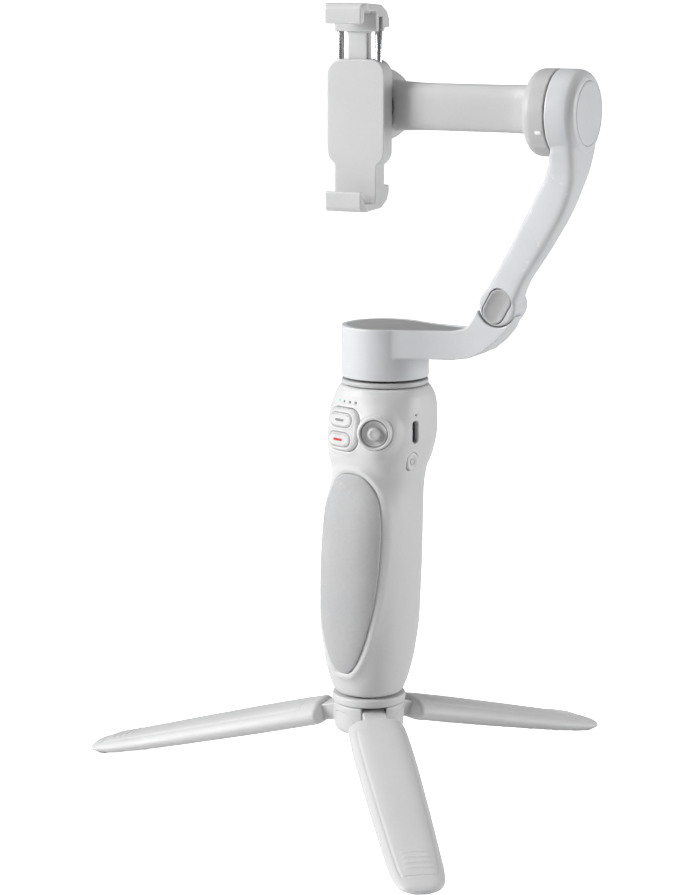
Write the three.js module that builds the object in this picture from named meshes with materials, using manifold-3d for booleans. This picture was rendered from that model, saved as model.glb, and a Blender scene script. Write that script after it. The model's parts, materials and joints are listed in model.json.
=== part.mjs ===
// Three-axis hand gimbal for a smartphone, standing on its own folding tripod.
// Millimetres, +Z up, the user's side faces -Y and the pan axis is vertical.
import * as THREE from "three";
import { mergeVertices } from "three/addons/utils/BufferGeometryUtils.js";
import Module from "manifold-3d";

const wasm = await Module();
wasm.setup();

// Driving dimensions
const gap = 0.3;
const handleTurn = -10; // how far the handle is panned from the clamp, degrees
const gripY = -10.5; // grip axis in front of the pan axis, in the handle's frame
const handleStations = [
  // height, centre y, half width, half depth, squareness
  [40, -10.5, 13.4, 13.4, 2.0],
  [42.5, -10.5, 14.6, 14.8, 2.05],
  [48, -10.5, 16.2, 16.6, 2.15],
  [56, -10.2, 17.6, 18.2, 2.25],
  [73, -9.4, 18.9, 19.6, 2.3],
  [94, -8.4, 19.2, 19.6, 2.3],
  [115, -6.8, 18.7, 19.0, 2.3],
  [126, -4.7, 17.9, 17.9, 2.3],
  [132, -3.8, 18.3, 18.2, 2.3],
  [138, -3.0, 19.8, 20.0, 2.3],
  [147, -1.8, 20.9, 20.7, 2.3],
  [156, -0.9, 20.8, 20.6, 2.2],
  [162, 0, 19.8, 19.8, 2.1],
  [166, 0, 18.0, 18.0, 2.0],
];
const wall = 2.4;
const shellSplitY = -3.5;
const padHeights = [50.4, 54, 60, 70, 84, 98, 110, 117, 122, 126, 129, 131, 132.2];
const padHalfWidths = [2.2, 5.6, 8.6, 11.6, 13.7, 14.6, 14.5, 13.7, 12.3, 10.4, 8.0, 5.4, 2.6];
const panRadius = 17.7;
const panFloor = 169.3; // underside of the pan housing
const panTop = 190;
const elbow = { x: 52.3, z: 201.3, radius: 8, half: 7.5 };
const tilt = { y: -29, z: 278, radius: 16.2, from: 77.4, seam: 86.9, to: 98.4 };
const roll = { z: 278, radius: 14.5, front: -17.5, back: -2.5 };
const opening = 71.5; // width of the phone that the clamp is set for
const phoneY = -30.3;
const hub = { radius: 14.4, from: 23.4, to: 35.6 };
const leg = { pinRadius: 10.4, pinHeight: 31, reach: 126, turns: [66.5, 186.5, 306.5] };

const group = new THREE.Group();

// Closed-body helpers
function solid(geometry) {
  const copy = geometry.clone();
  copy.deleteAttribute("normal");
  copy.deleteAttribute("uv");
  const merged = mergeVertices(copy, 1e-4);
  return new wasm.Manifold(new wasm.Mesh({
    numProp: 3,
    vertProperties: new Float32Array(merged.attributes.position.array),
    triVerts: new Uint32Array(merged.index.array),
  }));
}

function cut(body, ...tools) {
  return tools.reduce((rest, tool) => rest.subtract(tool), body);
}

function join(body, ...others) {
  return others.reduce((sum, other) => sum.add(other), body);
}

function add(name, body, colour, roughness, metalness, matrix) {
  const mesh = body.getMesh();
  const geometry = new THREE.BufferGeometry();
  geometry.setAttribute("position", new THREE.BufferAttribute(new Float32Array(mesh.vertProperties), 3));
  geometry.setIndex(new THREE.BufferAttribute(new Uint32Array(mesh.triVerts), 1));
  if (matrix) {
    geometry.applyMatrix4(matrix);
  }
  geometry.computeVertexNormals();
  const material = new THREE.MeshStandardMaterial({ color: colour, roughness, metalness });
  const piece = new THREE.Mesh(geometry, material);
  piece.name = name;
  group.add(piece);
}

// A closed skin through rings of equal point count
function loft(rings) {
  const count = rings[0].length;
  const points = rings.flat();
  const faces = [];
  for (let level = 0; level < rings.length - 1; level++) {
    for (let i = 0; i < count; i++) {
      const j = (i + 1) % count;
      const low = level * count;
      const high = low + count;
      faces.push(low + i, low + j, high + j, low + i, high + j, high + i);
    }
  }
  for (const [level, ring] of [[0, rings[0]], [rings.length - 1, rings[rings.length - 1]]]) {
    const middle = ring.reduce((sum, p) => sum.add(p), new THREE.Vector3()).divideScalar(count);
    points.push(middle);
    for (let i = 0; i < count; i++) {
      const j = (i + 1) % count;
      const a = level * count + i;
      const b = level * count + j;
      faces.push(...(level === 0 ? [b, a, points.length - 1] : [a, b, points.length - 1]));
    }
  }
  let volume = 0;
  for (let i = 0; i < faces.length; i += 3) {
    volume += points[faces[i]].dot(points[faces[i + 1]].clone().cross(points[faces[i + 2]]));
  }
  if (volume < 0) {
    for (let i = 0; i < faces.length; i += 3) {
      [faces[i], faces[i + 1]] = [faces[i + 1], faces[i]];
    }
  }
  const geometry = new THREE.BufferGeometry();
  geometry.setAttribute("position", new THREE.Float32BufferAttribute(points.flatMap((p) => [p.x, p.y, p.z]), 3));
  geometry.setIndex(faces);
  return solid(geometry);
}

function box(x0, x1, y0, y1, z0, z1, matrix) {
  const geometry = new THREE.BoxGeometry(x1 - x0, y1 - y0, z1 - z0);
  geometry.translate((x0 + x1) / 2, (y0 + y1) / 2, (z0 + z1) / 2);
  return solid(matrix ? geometry.applyMatrix4(matrix) : geometry);
}

// A turned body about local Z from [radius, height] pairs that start and end on the axis
function turned(profile, matrix, segments = 28) {
  const geometry = new THREE.LatheGeometry(profile.map(([r, z]) => new THREE.Vector2(r, z)), segments);
  geometry.rotateX(Math.PI / 2);
  const body = matrix ? geometry.applyMatrix4(matrix) : geometry;
  return solid(body);
}

function drum(radius, from, to, matrix, segments = 28) {
  return turned([[0, from], [radius, from], [radius, to], [0, to]], matrix, segments);
}

function ring(outer, inner, from, to, matrix, segments = 28) {
  return cut(drum(outer, from, to, matrix, segments), drum(inner, from - 1, to + 1, matrix, segments));
}

// A flat outline of [x, y] points, extruded along local Z
function slab(points, from, to, matrix) {
  const shape = new THREE.Shape(points.map(([x, y]) => new THREE.Vector2(x, y)));
  const geometry = new THREE.ExtrudeGeometry(shape, { depth: to - from, bevelEnabled: false });
  geometry.translate(0, 0, from);
  return solid(matrix ? geometry.applyMatrix4(matrix) : geometry);
}

function roundedOutline(width, height, radius, steps = 5) {
  const points = [];
  const corners = [[1, 1, 0], [-1, 1, 90], [-1, -1, 180], [1, -1, 270]];
  for (const [sx, sy, start] of corners) {
    for (let i = 0; i <= steps; i++) {
      const angle = THREE.MathUtils.degToRad(start + (90 * i) / steps);
      points.push([
        sx * (width / 2 - radius) + radius * Math.cos(angle),
        sy * (height / 2 - radius) + radius * Math.sin(angle),
      ]);
    }
  }
  return points;
}

function pose(position, xAxis, yAxis, zAxis) {
  const matrix = new THREE.Matrix4().makeBasis(
    new THREE.Vector3(...xAxis),
    new THREE.Vector3(...yAxis),
    new THREE.Vector3(...zAxis),
  );
  return matrix.setPosition(...position);
}

const alongX = (x, y, z) => pose([x, y, z], [0, 1, 0], [0, 0, 1], [1, 0, 0]);
const alongY = (x, y, z) => pose([x, y, z], [0, 0, 1], [1, 0, 0], [0, 1, 0]);
const towardFront = (x, y, z) => pose([x, y, z], [1, 0, 0], [0, 0, 1], [0, -1, 0]);
const at = (x, y, z) => new THREE.Matrix4().makeTranslation(x, y, z);

// Handle, in its own frame with the front towards -Y
const handleFrame = new THREE.Matrix4().makeRotationZ(THREE.MathUtils.degToRad(handleTurn));

function handleSection(height) {
  const last = handleStations.length - 1;
  let i = 0;
  while (i < last - 1 && height > handleStations[i + 1][0]) {
    i++;
  }
  const [low, high] = [handleStations[i], handleStations[i + 1]];
  const t = Math.min(Math.max((height - low[0]) / (high[0] - low[0]), 0), 1);
  return low.map((value, k) => value + t * (high[k] - value));
}

function ovalPoint(a, b, power, angle) {
  const [c, s] = [Math.cos(angle), Math.sin(angle)];
  return [
    a * Math.sign(c) * Math.abs(c) ** (2 / power),
    b * Math.sign(s) * Math.abs(s) ** (2 / power),
  ];
}

function handleLoft(offset, stations = handleStations, count = 32) {
  return loft(stations.map(([z, yc, a, b, power]) => Array.from({ length: count }, (_, i) => {
    const [x, y] = ovalPoint(a + offset, b + offset, power, (2 * Math.PI * (i + 0.5)) / count);
    return new THREE.Vector3(x, yc + y, z);
  })));
}

// Frame on the handle's skin: angle from the front towards +X, local Z outwards and local Y up
function onHandle(angle, height, lift = 0) {
  const t = THREE.MathUtils.degToRad(angle);
  const [, yc, a, b, power] = handleSection(height);
  const reach = (Math.abs(Math.sin(t) / a) ** power + Math.abs(Math.cos(t) / b) ** power) ** (-1 / power) + lift;
  return pose(
    [reach * Math.sin(t), yc - reach * Math.cos(t), height],
    [Math.cos(t), Math.sin(t), 0],
    [0, 0, 1],
    [Math.sin(t), -Math.cos(t), 0],
  );
}

const handleOuter = handleLoft(0);
const innerStations = handleStations.map((s, i) => {
  if (i === 0) {
    return [38, ...s.slice(1)];
  }
  return i === handleStations.length - 1 ? [163.4, s[1], 18.6, 18.6, 2.1] : s;
});
const handleInner = handleLoft(-wall, innerStations, 24);

// Outline of the grip pad, seen from the front
function padOutline(grow) {
  const side = padHeights.map((z, i) => [padHalfWidths[i] + grow, z]);
  side[0][1] -= grow;
  side[side.length - 1][1] += grow;
  return [...side, ...side.toReversed().map(([x, z]) => [-x, z])];
}
const padFrame = towardFront(0, 0, 0);
const padSkin = cut(handleLoft(0.55), handleLoft(-0.9));
const pad = slab(padOutline(0), 8, 34, padFrame).intersect(padSkin);
const padRecess = cut(slab(padOutline(gap), 8, 36, padFrame), handleLoft(-1.2));

// Control panel with two pill-shaped buttons
const panelFrame = onHandle(-14.5, 149.6);
const panelSkin = cut(handleLoft(0.9), handleLoft(-1.1));
const panelTool = (grow, depth) => slab(roundedOutline(15.4 + 2 * grow, 16.2 + 2 * grow, 4.4 + grow), -depth, 4, panelFrame);
const buttonHeights = { mode_button: 3.9, record_button: -3.9 };
const buttonTool = (y, grow, from, to) => slab(
  roundedOutline(10.8 + 2 * grow, 5.6 + 2 * grow, 2.7 + grow, 3).map(([x, up]) => [x, up + y]),
  from,
  to,
  panelFrame,
);
let controlPanel = panelTool(0, 5).intersect(panelSkin);
for (const y of Object.values(buttonHeights)) {
  controlPanel = cut(controlPanel, buttonTool(y, gap, -8, 6));
}

// Openings through the front and rear shells
const stickFrame = onHandle(29, 149.6);
const usbFrame = onHandle(76, 149);
const chargeFrame = onHandle(76, 155.8);
const powerFrame = onHandle(78, 137);
const zoomFrame = onHandle(-90, 148);
const triggerFrame = onHandle(180, 143);
const lightAngles = [-26, -17, -8, 1];
const lightFrames = lightAngles.map((angle) => onHandle(angle, 160.4));
const openings = [
  cut(panelTool(gap, 6), handleLoft(-1.4)),
  ...Object.values(buttonHeights).map((y) => buttonTool(y, gap, -8, 6)),
  drum(7.0, -8, 4, stickFrame),
  slab(roundedOutline(3.6, 9.6, 1.7, 4), -9, 4, usbFrame),
  drum(0.95, -6, 3, chargeFrame, 12),
  drum(4.0, -7, 4, powerFrame, 28),
  slab(roundedOutline(7, 15, 3.2, 4), -8, 4, zoomFrame),
  slab(roundedOutline(11, 19, 3, 4), -8, 5, triggerFrame),
  ...lightFrames.map((frame) => drum(0.95, -6, 3, frame, 12)),
  drum(7.4, 150, 170, undefined, 32),
  padRecess,
];
const shell = cut(handleOuter, handleInner, ...openings);
const frontShell = shell.intersect(box(-40, 40, -60, shellSplitY - 0.15, 30, 180));
const rearShell = shell.intersect(box(-40, 40, shellSplitY + 0.15, 60, 30, 180));
const white = 0xd9d9d8;
const grey = 0xb4b4b4;
add("handle_front_shell", frontShell, white, 0.5, 0, handleFrame);
add("handle_rear_shell", rearShell, white, 0.5, 0, handleFrame);
add("grip_pad", pad, grey, 0.75, 0, handleFrame);
add("control_panel", controlPanel, white, 0.45, 0, handleFrame);

const buttonSkin = handleLoft(1.35);
for (const [name, y] of Object.entries(buttonHeights)) {
  const cap = join(
    buttonTool(y, 0, -1.9, 4).intersect(buttonSkin),
    drum(1.2, -5, -1.5, panelFrame.clone().multiply(at(0, y, 0)), 12),
  );
  add(name, cap, 0xe2e2e1, 0.4, 0, handleFrame);
}

// Joystick: ring seated in the shell, gimbal ring and thumb cap
const collarProfile = [
  [0, -3.2], [6.6, -3.2], [6.6, -0.8], [7.3, 0.4], [7.1, 2.1], [6.5, 2.6], [5.8, 2.3], [5.2, 0.9], [0, 0.9],
];
const skinAround = cut(handleLoft(0.12), drum(6.75, -12, 6, stickFrame));
const collar = cut(turned(collarProfile, stickFrame, 32), drum(4.9, -6, 4, stickFrame), skinAround);
add("joystick_collar", collar, white, 0.5, 0, handleFrame);
const stickRing = cut(
  ring(4.5, 3.4, -3.6, -2.0, stickFrame, 28),
  box(-6, 6, -0.4, 0.4, -4, -2.6, stickFrame),
);
add("joystick_ring", stickRing, 0x8f9092, 0.4, 0.6, handleFrame);
const stickCap = turned([
  [0, -4.4], [1.6, -4.4], [1.6, -1.4], [4.2, -0.6], [4.3, 0.2], [3.0, 0.9], [2.9, 3.0], [2.3, 3.7], [0, 3.9],
], stickFrame, 32);
add("joystick_cap", stickCap, white, 0.45, 0, handleFrame);

// Status lights: one light guide with four windows; a second one beside the charging socket
const guideBar = cut(handleLoft(-2.7), handleLoft(-3.9))
  .intersect(box(-10.5, 2, -30, 0, 159.2, 161.6));
const guide = join(guideBar, ...lightFrames.map((frame) => drum(0.65, -3.4, 0.05, frame, 12)));
add("indicator_light_guide", guide, 0x7fd18a, 0.3, 0, handleFrame);
add("charge_light", drum(0.65, -3.2, 0.05, chargeFrame, 12), 0xdfe6ea, 0.3, 0, handleFrame);

// Charging socket: shroud with a tongue
const socketShell = cut(
  slab(roundedOutline(3.0, 8.9, 1.4, 4), -7.4, -0.5, usbFrame),
  slab(roundedOutline(2.4, 8.3, 1.15, 4), -6.6, 1, usbFrame),
);
const socket = join(socketShell, box(-0.35, 0.35, -3.3, 3.3, -7, -1.6, usbFrame));
add("usb_c_socket", socket, 0x55585b, 0.35, 0.9, handleFrame);

const powerCap = turned([[0, -3.6], [1.1, -3.6], [1.1, -1.6], [3.7, -1.6], [3.7, 0.1], [3.1, 0.6], [0, 0.75]], powerFrame, 28);
add("power_button", powerCap, 0xe2e2e1, 0.4, 0, handleFrame);

const zoomCap = join(
  loft([[-1.6, 6.2, 14.2], [0.2, 6.2, 14.2], [1.2, 5.4, 12.6], [1.7, 4.2, 9]].map(([z, w, h]) => (
    roundedOutline(w, h, Math.min(w, h) / 2 - 0.2, 4).map(([x, y]) => new THREE.Vector3(x, y, z).applyMatrix4(zoomFrame))
  ))),
  box(-2, 2, -1.2, 1.2, -4.6, -1.2, zoomFrame),
);
add("zoom_rocker", zoomCap, grey, 0.6, 0, handleFrame);

const triggerCap = join(
  loft([[-1.8, 10.2, 18.2], [0.6, 10.2, 18.2], [2.0, 9, 16.6], [2.6, 6.6, 13]].map(([z, w, h]) => (
    roundedOutline(w, h, 2.8, 4).map(([x, y]) => new THREE.Vector3(x, y, z).applyMatrix4(triggerFrame))
  ))),
  box(-2.4, 2.4, -7.5, -4.5, -4.8, -1.4, triggerFrame),
);
add("trigger", triggerCap, grey, 0.6, 0, handleFrame);

// Inside the handle
add("main_board", cut(box(-11.5, 11.5, -13.2, -12, 116, 158.6), box(-16, -9, -15, -10, 118, 126)), 0x2f5d46, 0.6, 0, handleFrame);
add("battery_pack", slab(roundedOutline(19, 13, 3), 58, 111, at(0, -15.5, 0)), 0x3b4a66, 0.5, 0, handleFrame);
add("rod_guide", cut(
  join(drum(7.0, 75, 160, undefined, 24), drum(9.6, 160, 163.1, undefined, 24)),
  drum(6.5, 77, 170, undefined, 24),
), 0xa9abad, 0.4, 0.6, handleFrame);
add("tripod_socket", cut(
  join(drum(5.2, 40.4, 54, at(0, gripY, 0), 24), drum(7.4, 44, 47, at(0, gripY, 0), 24)),
  drum(3.2, 39, 51, at(0, gripY, 0), 24),
), 0xb8975a, 0.35, 1, handleFrame);
add("handle_base_cap", cut(
  drum(10.6, 40, 43.6, at(0, gripY, 0), 36),
  drum(5.5, 39, 45, at(0, gripY, 0), 24),
), white, 0.5, 0, handleFrame);

// Telescopic rod and the pan motor's base
add("extension_rod_outer", cut(drum(6.2, 78, 162.6, undefined, 24), drum(5.6, 80, 170, undefined, 24)), 0xc4c6c8, 0.3, 0.9);
add("extension_rod_inner", cut(drum(5.3, 81, 170, undefined, 24), drum(4.1, 83, 172, undefined, 24)), 0xc4c6c8, 0.3, 0.9);
const baseRing = turned([
  [0, 166.35], [17.3, 166.35], [17.6, 166.7], [17.6, 168.1], [17.3, 168.4], [8.6, 168.4], [8.6, 171], [0, 171],
], undefined, 36);
add("pan_base", cut(baseRing, drum(5.6, 160, 175, undefined, 28)), 0xc9c9c8, 0.5, 0);

function windings(outer, inner, from, to, matrix) {
  const count = 9;
  const points = [];
  for (let i = 0; i < count; i++) {
    for (const [radius, share] of [[outer - 2.6, 0.12], [outer - 1, 0.2], [outer, 0.2], [outer, 0.8], [outer - 1, 0.8], [outer - 2.6, 0.88]]) {
      const angle = (2 * Math.PI * (i + share)) / count;
      points.push([radius * Math.cos(angle), radius * Math.sin(angle)]);
    }
  }
  return cut(slab(points, from, to, matrix), drum(inner, from - 1, to + 1, matrix, 24));
}
const copper = 0xa8673a;
add("pan_stator", windings(11.8, 4.4, 171.4, 179.5), copper, 0.45, 0.8);
add("pan_magnet_ring", ring(14.2, 12.3, 171.4, 182.5, undefined, 36), 0x6e7073, 0.4, 0.9);
add("pan_shaft", join(drum(3.6, 164, 182.7, undefined, 24), drum(8.5, 180.2, 182.7, undefined, 24)), 0x9a9c9f, 0.3, 1);

// Lower arm: pan housing that narrows into the arm and rises to the fold joint
const armOutline = [[elbow.half, 60]];
for (let i = 0; i <= 20; i++) {
  const angle = THREE.MathUtils.degToRad(52 + (256 * i) / 20);
  armOutline.push([panRadius * Math.cos(angle), panRadius * Math.sin(angle)]);
}
armOutline.shift();
const armPlan = [
  ...armOutline,
  [17, -12.4], [24, -10.2], [32, -8.6], [40, -7.7], [46, elbow.half * -1], [64, elbow.half * -1],
  [64, elbow.half], [46, elbow.half], [40, 7.7], [32, 8.6], [24, 10.2], [17, 12.4],
];
const armSide = [
  [-18, panFloor], [17.75, panFloor], [18.1, 178.6], [33, 178.7], [40, 179.8], [46, 182.6], [52, 187.4],
  [56.6, 192.2], [60.2, 197.4], [59.2, 199], [44, 199.4], [42.6, 196.6], [40.4, 193.2], [37.6, 191.2], [33, 190.4],
  [18, panTop], [-18, panTop],
];
const sideFrame = pose([0, 0, 0], [1, 0, 0], [0, 0, 1], [0, -1, 0]);
const elbowFrame = alongY(elbow.x, 0, elbow.z);
let lowerArm = slab(armPlan, 160, 210).intersect(slab(armSide, -20, 20, sideFrame));
const coverPlan = armPlan.map(([x, y]) => [x < 17 ? x * 0.86 : x, y * 0.82]);
const coverBox = box(-20, 38, -20, 20, 189.2, 195);
const seatCut = drum(elbow.radius + 0.4, -12, 12, elbowFrame, 32);
const tongueHalf = 2.8;
const tongue = join(
  drum(5.2, -tongueHalf, tongueHalf, elbowFrame, 28),
  box(-3.4, 3.4, -tongueHalf, tongueHalf, -11, 0, pose([elbow.x, 0, elbow.z], [0.78, 0, -0.62], [0, 1, 0], [0.62, 0, 0.78])),
);
lowerArm = cut(
  lowerArm,
  seatCut,
  slab(coverPlan, 188.6, 196).intersect(box(-20, 37, -20, 20, 188, 196)),
  drum(14.8, 160, 183, undefined, 40),
);
lowerArm = cut(join(lowerArm, tongue), drum(2.5, -20, 20, elbowFrame, 24));
add("lower_arm", lowerArm, white, 0.5, 0);
const cover = slab(coverPlan.map(([x, y]) => [x * 0.985, y * 0.965]), 188.9, 190.2).intersect(box(-20, 36.5, -20, 20, 188, 192));
add("lower_arm_cover", cover, grey, 0.55, 0);
add("fold_pin", drum(2.2, -4.6, 6.6, elbowFrame, 20), 0xa5a7aa, 0.3, 1);

// Upper arm: round knuckle, slim curved arm and the tilt motor's outer housing
const armStations = [
  // centre x, y, z, half thickness, half depth, lean of the section from horizontal
  [53.3, -0.4, 203.2, 7.8, 7.5, 32],
  [56.9, -2.4, 208.6, 7.6, 6.9, 31],
  [61.2, -5.4, 214.8, 7.4, 6.4, 30],
  [66.9, -9.6, 222.8, 7.2, 6.1, 30],
  [73.7, -14.8, 232.4, 7.1, 6.0, 30],
  [80.6, -19.6, 242.2, 7.0, 6.1, 30],
  [86.7, -23.6, 252.0, 6.4, 6.8, 24],
  [90.6, -26.8, 261.0, 5.8, 9.0, 14],
  [92.6, -29.0, 272.0, 5.3, 12.5, 2],
];
const armRings = armStations.map(([x, y, z, a, b, lean]) => Array.from({ length: 20 }, (_, i) => {
  const [u, v] = ovalPoint(a, b, 4.2, (2 * Math.PI * (i + 0.5)) / 20);
  const t = THREE.MathUtils.degToRad(lean);
  return new THREE.Vector3(x + u * Math.cos(t), y + v, z - u * Math.sin(t));
}));
const tiltFrame = alongX(0, tilt.y, tilt.z);
const tiltShell = turned([
  [0, tilt.seam + 0.2], [tilt.radius, tilt.seam + 0.2], [tilt.radius, tilt.to - 2.2], [tilt.radius - 0.8, tilt.to - 0.8],
  [tilt.radius - 2.2, tilt.to], [0, tilt.to],
], tiltFrame, 36);
const knuckle = drum(elbow.radius, -elbow.half, elbow.half, elbowFrame, 32);
const slotHalf = tongueHalf + gap;
const knuckleSlot = join(
  drum(5.6, -slotHalf, slotHalf, elbowFrame, 28),
  box(-10, 10, -slotHalf, slotHalf, 0, 12, pose([elbow.x, 0, elbow.z], [-0.415, 0, 0.91], [0, 1, 0], [-0.91, 0, -0.415])),
);
const pillFrame = pose([elbow.x, 0, elbow.z], [0.87, 0, -0.49], [0.49, 0, 0.87], [0, -1, 0]);

// The cover that runs from the motor down the outside of the arm
function armCover(grow) {
  const stations = armStations.slice(1);
  for (const [end, next] of [[0, 1], [stations.length - 1, stations.length - 2]]) {
    const step = [0, 1, 2].map((k) => stations[end][k] - stations[next][k]);
    const reach = grow / Math.hypot(...step);
    stations[end] = stations[end].map((value, k) => (k < 3 ? value + reach * step[k] : value));
  }
  const strips = stations.map(([x, y, z, a, b, lean]) => Array.from({ length: 12 }, (_, i) => {
    const [u, v] = ovalPoint(0.8 + grow, b * 0.8 + grow, 4, (2 * Math.PI * (i + 0.5)) / 12);
    const t = THREE.MathUtils.degToRad(lean);
    const out = u + a - 0.75;
    return new THREE.Vector3(x + out * Math.cos(t), y + v, z - out * Math.sin(t));
  }));
  return join(loft(strips), drum(14.4 + grow, 97.0 - grow, 98.7 + 3 * grow, tiltFrame, 36));
}
let upperArm = join(loft(armRings), tiltShell, knuckle);
upperArm = cut(
  upperArm,
  drum(tilt.radius + 0.5, 70, tilt.seam + 0.2, tiltFrame, 36),
  drum(13.2, 80, 95.2, tiltFrame, 36),
  knuckleSlot,
  drum(2.5, -7.0, 7.0, elbowFrame, 24),
  slab(roundedOutline(10.2, 15.4, 5, 6), 5.0, 12, pillFrame),
  armCover(gap),
);
add("upper_arm", upperArm, white, 0.5, 0);
add("upper_arm_cover", armCover(0), white, 0.5, 0);
const pill = loft([[6.3, 9.4, 14.6], [7.4, 9.4, 14.6], [7.75, 8.6, 13.8], [7.3, 6.4, 11.4]].map(([z, w, h]) => (
  roundedOutline(w, h, w / 2 - 0.1, 6).map(([x, y]) => new THREE.Vector3(x, y, z).applyMatrix4(pillFrame))
)));
add("fold_lock_button", pill, grey, 0.55, 0);

// Tilt motor
add("tilt_stator", windings(11.4, 3.2, 88.6, 94.6, tiltFrame), copper, 0.45, 0.8);
add("tilt_shaft", drum(2.8, 81.5, 94.8, tiltFrame, 24), 0x9a9c9f, 0.3, 1);
add("tilt_magnet_ring", ring(12.9, 11.8, 85.2, 94.0, tiltFrame, 36), 0x6e7073, 0.4, 0.9);

// Tilt bracket: inner half of the tilt motor, the bar behind the phone and the roll motor's cup
const rollFrame = alongY(0, 0, roll.z);
const tiltDrum = turned([
  [0, tilt.from], [11, tilt.from], [14.2, tilt.from + 0.9], [15.7, tilt.from + 2.3], [tilt.radius, tilt.from + 4.2],
  [tilt.radius, tilt.seam - 0.2], [0, tilt.seam - 0.2],
], tiltFrame, 36);
const barRings = [
  [81.0, -20, 7.0, 10.4], [76.0, -17.4, 5.2, 9.6], [70.0, -15.2, 4.2, 9.2], [60, -14.4, 3.9, 9.0], [30, -14.2, 3.9, 9.0],
  [14, -13.4, 4.2, 9.6], [8, -11.6, 5.0, 10.4],
].map(([x, y, b, h]) => Array.from({ length: 16 }, (_, i) => {
  const [u, v] = ovalPoint(b, h, 3.4, (2 * Math.PI * (i + 0.5)) / 16);
  return new THREE.Vector3(x, y + u, tilt.z + v);
}));
const rollCup = turned([
  [0, roll.front], [roll.radius, roll.front], [roll.radius, roll.back - 2], [roll.radius - 0.7, roll.back - 0.6],
  [roll.radius - 2, roll.back], [0, roll.back],
], rollFrame, 32);
const tiltBracket = cut(
  join(tiltDrum, loft(barRings), rollCup),
  drum(12.0, roll.front - 1, -5, rollFrame, 32),
  drum(12.6, roll.back - 1.1, 2, rollFrame, 32),
  drum(3.1, 81, 90, tiltFrame, 24),
  ring(13.2, 11.5, 84.9, 90, tiltFrame, 36),
);
add("tilt_bracket", tiltBracket, 0xcfcfce, 0.5, 0);
add("roll_motor_cap", turned([
  [0, roll.back - 0.8], [12.3, roll.back - 0.8], [12.3, roll.back - 0.1], [11.6, roll.back + 0.2], [0, roll.back + 0.5],
], rollFrame, 32), grey, 0.55, 0);
add("tilt_index_mark", loft([[0.05, 2.6, 1.6], [0.16, 2.6, 1.6], [0.24, 2.3, 1.3]].map(([z, w, h]) => (
  roundedOutline(w, h, 0.4, 2).map(([x, y]) => {
    const frame = pose([84.6, tilt.y - 16.2 * Math.cos(0.42), tilt.z - 16.2 * Math.sin(0.42)],
      [1, 0, 0], [0, -Math.sin(0.42), Math.cos(0.42)], [0, -Math.cos(0.42), -Math.sin(0.42)]);
    return new THREE.Vector3(x, y, z + 0.1).applyMatrix4(frame);
  })
))), 0xf2f2f2, 0.4, 0);
add("roll_stator", windings(10.4, 3.2, -14.8, -8.6, rollFrame), copper, 0.45, 0.8);

// Clamp: rotor plate, body with the fixed lower jaw, and the sliding upper jaw
add("roll_rotor", join(
  drum(2.8, -18.2, -6, rollFrame, 24),
  drum(11.7, -18.2, -16.4, rollFrame, 32),
), 0x9a9c9f, 0.35, 0.9);
const clampMid = phoneY + 3.7; // plane of the phone's back
const bodyFront = clampMid + 0.6;
const bodyBack = -18.9;
const phoneTop = 277.7 + opening / 2;
const phoneBottom = 277.7 - opening / 2;
const clampFrame = towardFront(0, 0, 0);
const rodX = 8.3;
const rodY = (bodyFront + bodyBack) / 2;
const clampPlate = slab(roundedOutline(25, 41, 6, 6).map(([x, y]) => [x, y + 275.5]), -bodyBack, -bodyFront, clampFrame);
const lowerBlade = (x, from, to) => slab([[-x, from], [x, from], [x, to], [-x, to]], -bodyBack, -bodyFront, clampFrame);
function finger(side, root) {
  // Outline in Y and height above the phone's edge, extruded along X
  const profile = [
    [-14.8, -5.5], [-14.8, -2.4], [-16.6, 0.6], [-21.4, 3.2], [-34.4, 3.9], [-35.7, 3.3], [-36.4, 2.0],
    [-36.4, -3.6], [-35.8, -4.0], [-34.9, -3.8], [-34.4, -2.6], [-34.4, 0.75], [bodyFront, 0.75],
    [bodyFront, -root], [bodyBack, -root], [bodyBack, -5.5],
  ];
  const frame = pose([0, 0, side > 0 ? phoneTop : phoneBottom], [0, 1, 0], [0, 0, side], [side, 0, 0]);
  const wide = slab(profile, -9.2, 9.2, frame);
  const shape = slab([
    [-9.2, -10], [9.2, -10], [9.2, -33], [7.9, -35.6], [7.2, -38], [-7.2, -38], [-7.9, -35.6], [-9.2, -33],
  ], 200, 360);
  return wide.intersect(shape);
}
const padTool = (side, grow) => {
  const low = side > 0 ? phoneTop : phoneBottom - 1.1;
  const high = side > 0 ? phoneTop + 1.1 : phoneBottom;
  return box(-7.4 - grow, 7.4 + grow, -33.6 - grow, -26.9 + grow, low - grow, high + grow);
};
const innerCavity = box(-4.7, 4.7, bodyFront + 1.2, bodyBack - 1.2, 259.6, 300);
let clampBody = join(clampPlate, lowerBlade(9.2, 240, 262), finger(-1, 12));
clampBody = cut(
  clampBody,
  innerCavity,
  drum(1.75, 260.5, 300, at(rodX, rodY, 0), 20),
  drum(1.75, 260.5, 300, at(-rodX, rodY, 0), 20),
  padTool(-1, gap),
);
add("clamp_body", clampBody, 0xe0e0df, 0.5, 0);
const lowerPad = slab(roundedOutline(14.8, 6.7, 1.2, 3), phoneBottom - 1.1, phoneBottom, at(0, -30.25, 0));
const upperPad = slab(roundedOutline(14.8, 6.7, 1.2, 3), phoneTop, phoneTop + 1.1, at(0, -30.25, 0));
add("clamp_lower_pad", lowerPad, 0x8e8f91, 0.85, 0);
const jaw = cut(
  join(
    finger(1, 7),
    box(-4.3, 4.3, bodyFront + 1.6, bodyBack - 1.6, 281, phoneTop - 4),
  ),
  padTool(1, gap),
  drum(1.7, 300, phoneTop - 1.4, at(rodX, rodY, 0), 20),
  drum(1.7, 300, phoneTop - 1.4, at(-rodX, rodY, 0), 20),
);
add("clamp_upper_jaw", jaw, 0xe0e0df, 0.5, 0);
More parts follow.
